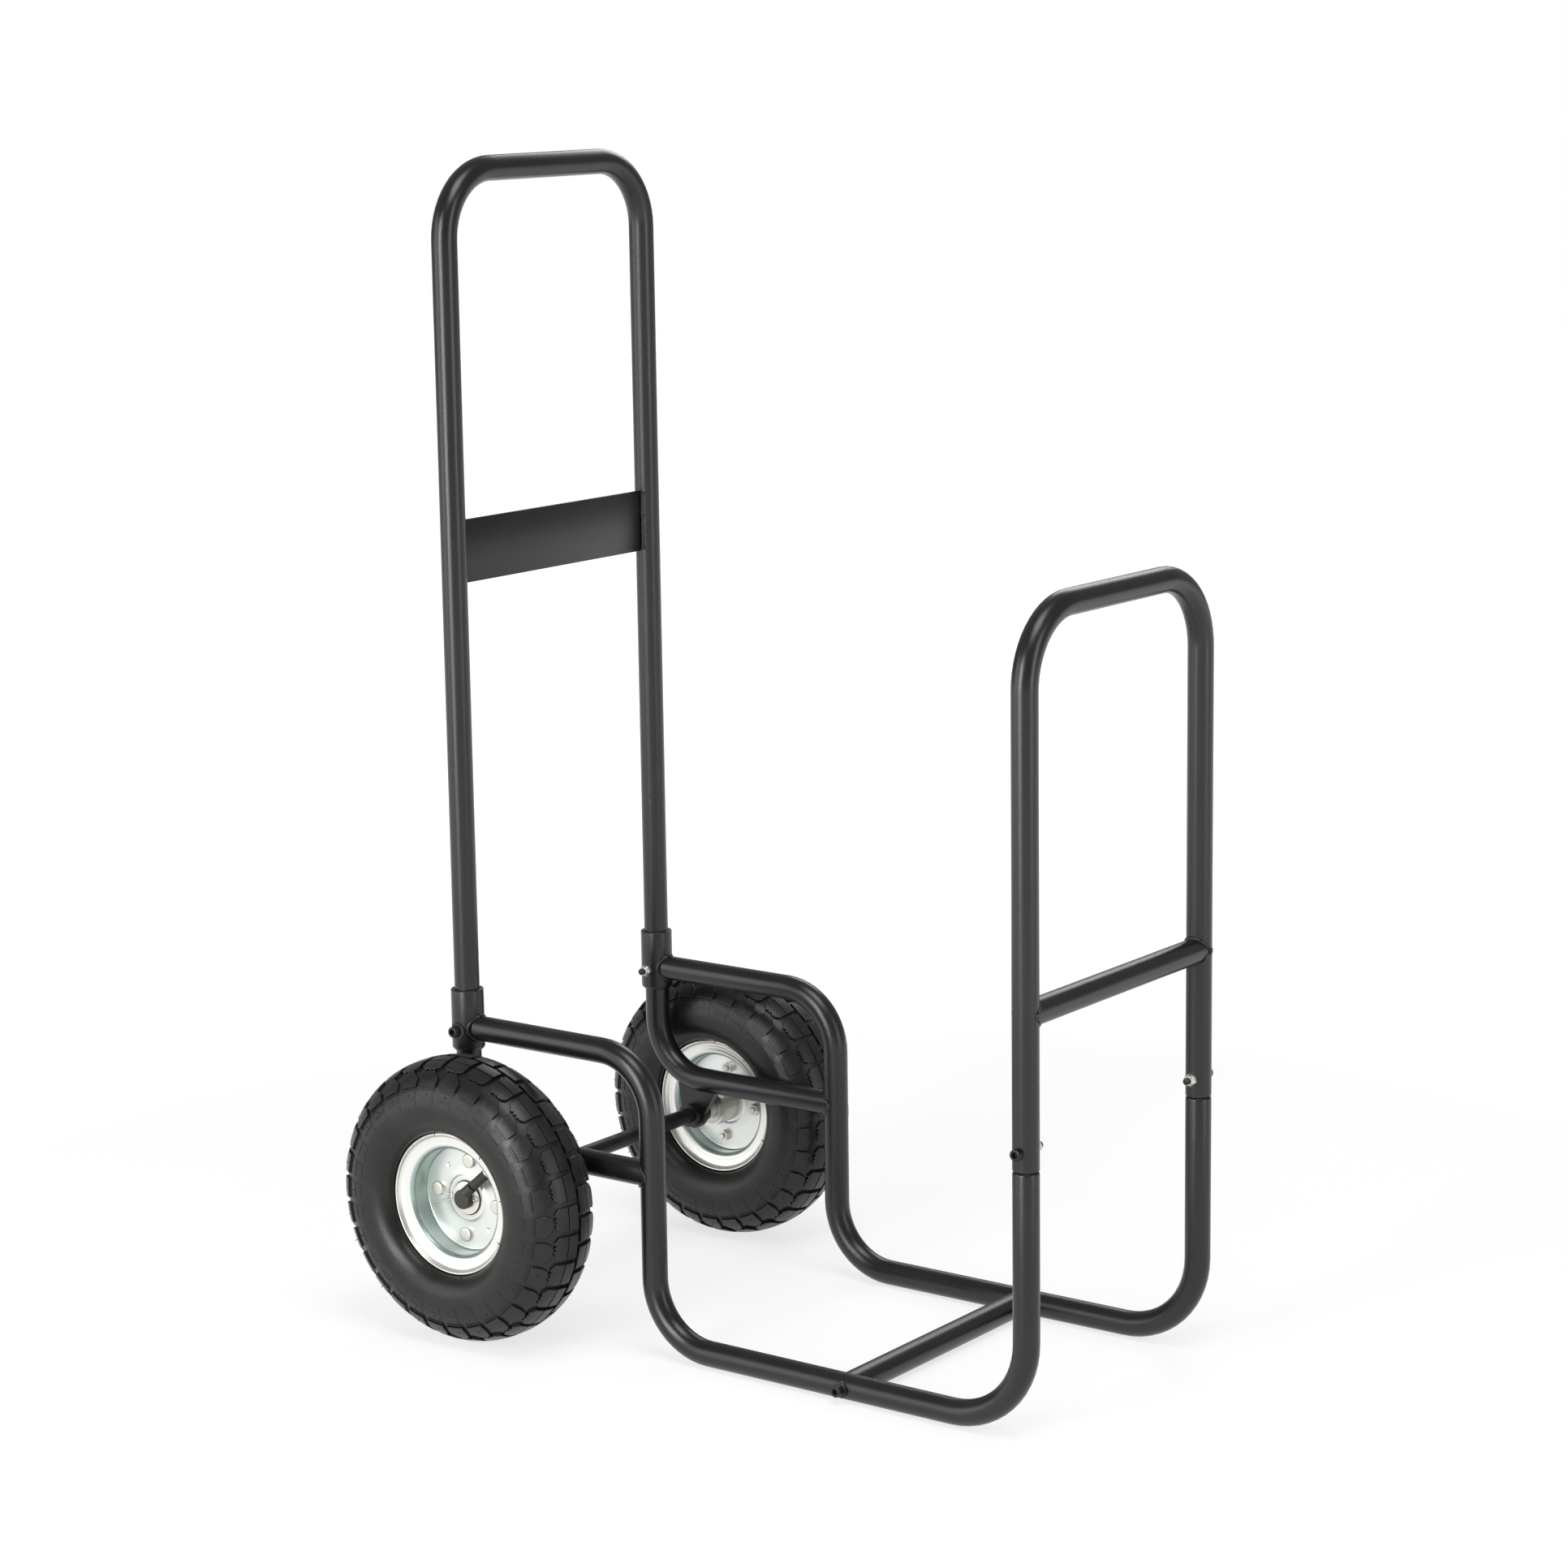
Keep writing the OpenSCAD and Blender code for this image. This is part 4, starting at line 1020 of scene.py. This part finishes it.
# %% Wrap and block helpers
PITCHES = 30
DRAWN_AT = 125
PER_DEGREE = DRAWN_AT * pi / 180
crown_out = [(side_centre + half_width, 0.0)] + outer_half[::-1]
walked = [0.0]
for (r0, z0), (r1, z1) in zip(crown_out, crown_out[1:]):
    walked.append(walked[-1] + hypot(r1 - r0, z1 - z0))


def on_casing(s):
    s_abs = min(abs(s), walked[-1] - 0.01)
    i = max(k for k, w in enumerate(walked) if w <= s_abs)
    t = (s_abs - walked[i]) / (walked[i + 1] - walked[i])
    (r0, z0), (r1, z1) = crown_out[i], crown_out[i + 1]
    tangent = Vector((r1 - r0, 0, z1 - z0)).normalized()
    point = Vector((r0 + (r1 - r0) * t, 0, z0 + (z1 - z0) * t))
    normal = Vector((tangent.z, 0, -tangent.x))
    if s < 0:
        point.z, normal.z = -point.z, -normal.z
    return point, normal


def lug_height(s):
    """Full height on the crown, and 0.9 mm less from 42 mm out on the shoulder."""
    return LUG - 0.9 * max(0.0, min(1.0, (abs(s) - 18) / 24))


def wrap(mesh):
    for vert in mesh.verts:
        s, angle, height = vert.co.x, radians(vert.co.y / PER_DEGREE), vert.co.z
        point, normal = on_casing(s)
        place = point + normal * (height * lug_height(s) / LUG if height > 0 else height)
        vert.co = Matrix.Rotation(angle, 3, "Z") @ place


def block(corners, height=LUG, sunk=0.8, ease=0.4, cell=(4.2, 5.6)):
    mesh = bmesh.new()
    face = mesh.faces.new([mesh.verts.new((s, a * PER_DEGREE, -sunk)) for s, a in corners])
    raised = bmesh.ops.extrude_face_region(mesh, geom=[face], use_keep_orig=True)["geom"]
    top = [g for g in raised if isinstance(g, bmesh.types.BMVert)]
    bmesh.ops.translate(mesh, vec=(0, 0, height + sunk), verts=top)
    eased(mesh, [e for e in mesh.edges if all(v.co.z > 0 for v in e.verts)], ease, 1)
    for axis, normal in ((0, AHEAD), (1, OUT)):
        low = min(v.co[axis] for v in mesh.verts)
        high = max(v.co[axis] for v in mesh.verts)
        count = max(1, round((high - low) / cell[axis]))
        for i in range(1, count):
            cut = normal * (low + (high - low) * i / count)
            everything = mesh.verts[:] + mesh.edges[:] + mesh.faces[:]
            bmesh.ops.bisect_plane(mesh, geom=everything, plane_co=cut, plane_no=normal, dist=1e-5)
    bmesh.ops.recalc_face_normals(mesh, faces=mesh.faces)
    return mesh


print("the casing is", round(walked[-1], 1), "mm from crown to rim")

# %% [markdown]
# ## Cutting the tread pattern
#
# Three kinds of block make a repeat. A narrow one runs beside the middle, a wide one
# carries the crown, and a shoulder block points at it. Where the last two face each other
# their edges are cut in the same small teeth, with a thin gap between. A thin rib closes
# the shoulder, and two low panels decorate the side below it. The far half of the tread
# is the mirror image, half a repeat further on.

# %% One repeat of the tread
LEAN = 2.3
HALF_BLOCK = 4.9
start, stop = LEAN - HALF_BLOCK, LEAN + HALF_BLOCK
crown_block = [
    (12.9, start), (21.5, start), (24.6, LEAN - 3.3), (24.2, LEAN - 2.6), (26.0, LEAN - 1.6),
    (24.0, LEAN - 0.7), (26.0, LEAN + 0.4), (24.0, LEAN + 1.2), (25.8, LEAN + 2.3), (24.2, LEAN + 3.2),
    (21.5, stop), (12.9, stop),
]
shoulder_block = [
    (42.0, 4.7), (34.0, 4.9), (28.2, 3.9), (26.9, 2.9), (27.2, 2.5), (25.2, 1.4), (27.2, 0.5), (25.4, -0.4),
    (27.4, -1.2), (28.6, -1.9), (34.0, -4.7), (42.0, -4.7),
]


def patch(s0, s1, first, last):
    return [(s0, first), (s1, first), (s1, last), (s0, last)]


def other_half(corners):
    return [(-s, a + 180 / PITCHES) for s, a in reversed(corners)]


lugs = [patch(1.6, 12.0, start, stop), crown_block, shoulder_block]
rib = (patch(43.3, 44.3, -4.6, 4.6), 1.3, 0.3)
panel = (patch(45.6, 51.6, -3.5, 3.5), 0.7, 0.25)
panel_base = (patch(45.0, 52.2, -4.3, 4.3), 0.35, 0.1)
low_panel = (patch(53.4, 60.0, -4.0, 4.0), 0.45, 0.2)
flat = []
for mirrored in (False, True):
    turn_over = other_half if mirrored else list
    flat += [block(turn_over(shape)) for shape in lugs]
    for shape, height, ease in (rib, panel, panel_base, low_panel):
        flat.append(block(turn_over(shape), height, 0.5, ease))
repeat = joined(flat)
wrap(repeat)
print("one repeat has", len(repeat.faces), "faces")
bmesh.ops.spin(
    repeat, geom=repeat.verts[:] + repeat.edges[:] + repeat.faces[:], axis=(0, 0, 1), cent=(0, 0, 0),
    steps=PITCHES - 1, angle=radians(360 - 360 / PITCHES), use_duplicate=True,
)
wheel_pair("tyre_tread", repeat, "tyre_rubber", sharp=25)

# %% [markdown]
# ## Mould whiskers
#
# A mould lets its air out through pinholes, and rubber that creeps into them is left
# behind as thin whiskers. One stands in the middle of each panel, a shorter one on the
# panel below it, one on most shoulder blocks, and a few round the rim. They are cones of
# random length with a fixed seed, so they come out the same each time. Their length is
# limited where they would stand out past the tyre's own width and radius.

# %% Whiskers
pick = random.Random(7)
SHOULDER_EDGE = 36
WIDEST, HIGHEST = 40.9, 130.4


def whisker(radius, angle, length, normal, point):
    root = 0.6
    mesh = bmesh.new()
    bmesh.ops.create_cone(
        mesh, cap_ends=True, segments=5, radius1=radius, radius2=radius * 0.45, depth=length + root,
    )
    bmesh.ops.translate(mesh, vec=(0, 0, (length - root) / 2), verts=mesh.verts)
    bent = (normal + Vector((pick.uniform(-0.25, 0.25), pick.uniform(-0.25, 0.25), 0))).normalized()
    aim = bent.to_track_quat("Z", "Y").to_matrix().to_4x4()
    return moved(mesh, Matrix.Rotation(radians(angle), 4, "Z") @ Matrix.Translation(point) @ aim)


whiskers = []
for i in range(PITCHES):
    for sign in (1, -1):
        turn = (i if sign > 0 else i + 0.5) * 360 / PITCHES
        for s, longest, thick in ((48.6, 2.4, 0.6), (56.6, 1.1, 0.5)):
            point, normal = on_casing(sign * s)
            room = (WIDEST - abs(point.z)) / max(abs(normal.z), 0.05)
            length = max(0.35, min(pick.uniform(0.5, longest), room))
            whiskers.append(whisker(thick, turn + pick.uniform(-0.4, 0.4), length, normal, point))
        if pick.random() < 0.7:
            point, normal = on_casing(sign * SHOULDER_EDGE)
            point = point + normal * lug_height(SHOULDER_EDGE)
            reach = min(pick.uniform(0.6, 3.4), HIGHEST - point.x)
            whiskers.append(whisker(0.45, turn + 1.0, reach, Vector((1, 0, 0.15 * sign)).normalized(), point))
ROUND_RIM = 9
for i in range(ROUND_RIM):
    for sign in (1, -1):
        point, normal = on_casing(sign * (walked[-1] - 5))
        inwards = (normal * 0.5 - AHEAD).normalized()
        turn = i * 360 / ROUND_RIM + pick.uniform(0, 20)
        whiskers.append(whisker(0.75, turn, pick.uniform(1.6, 3.2), inwards, point))
wheel_pair("tyre_whiskers", joined(whiskers), "tyre_rubber", sharp=50)

# %% [markdown]
# ## Pressed rims
#
# Each rim half is one pressing of 2 mm sheet. From the hub it steps over a raised ring,
# runs flat, turns up through a tight fillet into the barrel, rolls over the bead seat and
# ends in a curled lip. The outline holds both faces of the sheet, so the turned piece is
# a closed shell. Two small dents mark where the sheet was held in the press. The disc has
# extra rings there, its faces near a dent are cut finer, and the vertices are pushed in.

# %% Pressed rims
SHEET = 2.0
SEAT_R = 50.8
SPLIT = -2.4
LIP_HEIGHT = 24.5
HUB_R = 18.1
FILLET = 1.7
SHOULDER_R = 6
BEAD_R = 1.05
face_z = SPLIT + SHEET
barrel = SEAT_R - SHEET


def pressed_outline(top):
    """One half from its joint at height 0 out to the middle of its lip at a height."""
    neck = top - 10
    fillet_r, fillet_z, shoulder_r = barrel - FILLET, SHEET + FILLET, barrel + SHOULDER_R
    face = [(HUB_R, SHEET + 1.5)] + arc(20.1, SHEET + 1.0, 0.5, 90, 40, 3)
    face += [(22.7, SHEET + 0.18), (23.3, SHEET)] + [(r, SHEET) for r in range(31, 41)]
    face += arc(fillet_r, fillet_z, FILLET, -90, 0, 6) + arc(shoulder_r, neck, SHOULDER_R, 180, 90, 9)
    face += [(57.2, neck + 6), (57.8, neck + 6.25), (58.8, neck + 6.3), (60.3, top - 3.5)]
    face += [(61.5, top - 2.75), (62.6, top - 1.65), (63.35, top - 0.45)]
    lip_bead = arc(lip - BEAD_R, top, BEAD_R, 150, 0, 7)
    back = arc(59.5, top, 6, 0, -90, 9) + arc(shoulder_r, neck, SHOULDER_R - SHEET, 90, 180, 7)
    back += arc(fillet_r, fillet_z, FILLET + SHEET, 0, -90, 7) + [(HUB_R, 0)]
    return face + lip_bead + back


DENT_CIRCLE, DENT_R, DENT_DEPTH = 35.2, 2.7, 1.1
outer_rim = turned([(r, z + SPLIT) for r, z in pressed_outline(LIP_HEIGHT - SPLIT)], 144)
dents = [Vector((DENT_CIRCLE * cos(a), DENT_CIRCLE * sin(a), face_z)) for a in (radians(130), radians(310))]


def near_a_dent(vert):
    return vert.co.z > face_z - 0.1 and min((vert.co - dent).length for dent in dents) < 4.6


cut = [edge for edge in outer_rim.edges if all(near_a_dent(vert) for vert in edge.verts)]
bmesh.ops.subdivide_edges(outer_rim, edges=cut, cuts=2, use_grid_fill=True)
for vert in outer_rim.verts:
    away = min((vert.co - dent).length for dent in dents) / DENT_R
    if away < 1:
        vert.co.z -= DENT_DEPTH * (1 - away * away) ** 2
wheel_pair("rim_face", outer_rim, "rim_zinc", ["rim_outer"], sharp=40)
inner_rim = turned([(r, SPLIT - z) for r, z in pressed_outline(LIP_HEIGHT + SPLIT)], 144)
wheel_pair("rim_back", inner_rim, "rim_zinc", ["rim_inner"], sharp=40)

# %% [markdown]
# ## Bolts, washer and cap
#
# Four bolts hold the halves together, and their flat heads have a soft chamfer. The axle
# passes through a pale washer and ends under a black cap. Between the washer and the hub
# a thin black ring fills the gap as painted shade for that gap, shaped like a seal's lip.
# It stands clear of the washer, because it turns with the wheel and the washer doesn't.

# %% Bolts and small turned pieces
BOLT_CIRCLE, FIRST_BOLT = 35, 85
BOLT_HEAD, BOLT_SHANK = 6.7, 3


def on_bolt_circle(outline, steps):
    shapes = []
    for i in range(4):
        round_axle = Matrix.Rotation(radians(FIRST_BOLT + 90 * i), 4, "Z")
        spot = round_axle @ Matrix.Translation((BOLT_CIRCLE, 0, face_z))
        shapes.append(moved(turned(outline, steps), spot))
    return joined(shapes)


head = [(0, 0), (BOLT_HEAD, 0), (BOLT_HEAD, 2.2), (BOLT_HEAD - 0.2, 2.65), (BOLT_HEAD - 0.8, 3.1)]
head += [(BOLT_HEAD - 1.2, 3.2), (2.0, 3.14), (0, 3.14)]
shank = [(0, 0), (BOLT_SHANK, 0), (BOLT_SHANK, -10.4), (BOLT_SHANK - 0.6, -11), (0, -11)]
bolts = joined([on_bolt_circle(head, 32), on_bolt_circle(shank, 24)])
wheel_pair("rim_bolt_heads", bolts, "bright_zinc", ["rim_bolts"], sharp=40)
# A dark ring in the gap round the washer, put there as painted shade.
gap_shade_ring = turned([(14.6, 0.4), (16.35, 0.4), (16.35, 0.9), (15.9, 1.02), (14.6, 0.92)], 72)
wheel_pair("bearing_gap_shade", gap_shade_ring, "valve_rubber")

AXLE_HOLE = 7.55
washer_face, washer_r = 2.7, 15.3
washer_back = washer_face - 1.6
washer_outline = [(AXLE_HOLE, washer_back), (washer_r - 0.4, washer_back), (washer_r, washer_back + 0.4)]
washer_outline += arc(washer_r - 0.5, washer_face - 0.5, 0.5, 0, 90, 3)
washer_outline += [(AXLE_HOLE + 0.35, washer_face), (AXLE_HOLE, washer_face - 0.3)]
washer = both_ends(moved(turned(washer_outline, 72), ON_AXLE))
finish_piece("hub_washers", washer, "frame", "washer_zinc", ["axle_washers"])

cap_start, cap_end, axle_end = 2.8, 9.4, 7.95
cap_outline = [(AXLE_HOLE, cap_start), (8.8, cap_start)] + arc(8.6, 3.2, 0.4, -60, 0, 3)
cap_outline += arc(7.8, cap_end - 1.2, 1.2, 0, 90, 6) + [(0, cap_end), (0, axle_end), (AXLE_HOLE, axle_end)]
cap = both_ends(moved(turned(cap_outline, 48), ON_AXLE))
finish_piece("end_caps", cap, "frame", "black_plastic", ["axle_caps"])

# %% [markdown]
# ## Cotter pins
#
# A cotter is half-round wire folded on itself. The fold makes an eye at one end, and the
# two legs are spread behind the axle so that it can't fall out. One ring of vertices is
# walked down a leg, round the eye and back down the other leg, and the wire then has one
# skin from tip to tip.

# %% Cotter pins
PIN_Z, PIN_TURN = 3.9, 5
PIN_BODY = 10.0
WIRE_R = 0.5
SPREAD = radians(12)
EYE_R = 2.6


def wire(points, radius):
    mesh = bmesh.new()
    points = [Vector(p) for p in points]
    heading = (points[1] - points[0]).normalized()
    start = Matrix.Translation(points[0]) @ heading.to_track_quat("Z", "Y").to_matrix().to_4x4()
    verts, edges = new_ring(mesh, radius, start, sides=10)
    first = edges
    for i in range(1, len(points)):
        verts, edges = carried(bmesh.ops.extrude_edge_only(mesh, edges=edges)["geom"])
        after = points[min(i + 1, len(points) - 1)] - points[i - 1]
        turn = heading.rotation_difference(after.normalized())
        bmesh.ops.rotate(mesh, cent=points[i - 1], matrix=turn.to_matrix(), verts=verts)
        bmesh.ops.translate(mesh, vec=points[i] - points[i - 1], verts=verts)
        heading = after.normalized()
    bmesh.ops.contextual_create(mesh, geom=first)
    bmesh.ops.contextual_create(mesh, geom=edges)
    bmesh.ops.recalc_face_normals(mesh, faces=mesh.faces)
    return mesh


def leg_points(side, length):
    """A leg from its tip to the start of the eye."""
    y, back = side * WIRE_R, 0.6 - PIN_BODY
    tip = (back - length * cos(SPREAD), y + side * length * sin(SPREAD), PIN_Z)
    return [tip, (back, y, PIN_Z), (PIN_BODY - 1.0, y, PIN_Z)]


turns = [radians(160 - i * 20) for i in range(17)]
eye = [(PIN_BODY + 2.1 + EYE_R * cos(a), EYE_R * sin(a), PIN_Z) for a in turns]
cotter = wire(leg_points(1, 20.5) + eye + leg_points(-1, 33)[::-1], WIRE_R)
cotter = both_ends(moved(moved(cotter, Matrix.Rotation(radians(PIN_TURN), 4, "Z")), ON_AXLE))
finish_piece("cotters", cotter, "frame", "bright_zinc", ["cotter_pins"], sharp=60)

# %% [markdown]
# ## Valve
#
# The valve is a rubber-covered stem that leans out of the barrel towards the axle. A
# small steel ring sits where it leaves the rim, and a ribbed cap screws on its end.

# %% Valve
VALVE_TURN, VALVE_TILT = 43, -80
STEM_R, CAP_R = 4.7, 5.1
CAP_RIDGES, RIDGE_PITCH = 5, 1.5
VALVE_ROOT = Matrix.Translation((SEAT_R - 1.4, 0, 9.2)) @ Matrix.Rotation(radians(VALVE_TILT), 4, "Y")
ON_VALVE = Matrix.Rotation(radians(VALVE_TURN), 4, "Z") @ VALVE_ROOT


def valve_piece(name, outline, slot, node):
    wheel_pair(name, moved(turned(outline, 36), ON_VALVE), slot, [node])


stem = [(0, 0), (STEM_R + 0.2, 0), (STEM_R + 0.2, 2.4), (STEM_R, 3), (STEM_R, 22.4), (4.3, 24.4)]
stem += [(3.7, 25.2), (3.4, 25.5), (3.4, 27), (0, 27)]
valve_piece("valve_tube", stem, "valve_rubber", "valve_stem")
bore = STEM_R + 0.05
collar_ring = [(bore, 3.0), (5.6, 3.0)] + arc(5.5, 3.9, 0.7, -60, 60, 4) + [(bore, 4.8)]
valve_piece("valve_ring", collar_ring, "bright_zinc", "valve_nut")
cap_outline = [(0, 26.2), (3.5, 26.2), (3.5, 25.9), (CAP_R - 0.4, 25.9), (CAP_R, 26.3)]
for i in range(CAP_RIDGES):
    base = 27 + i * RIDGE_PITCH
    groove = CAP_R - 0.18
    cap_outline += [(CAP_R, base), (groove, base + 0.3), (groove, base + 0.7), (CAP_R, base + 1)]
cap_outline += arc(4.2, 34.9, 0.9, 0, 90, 4) + [(0, 35.8)]
valve_piece("valve_end_cap", cap_outline, "black_plastic", "valve_cap")
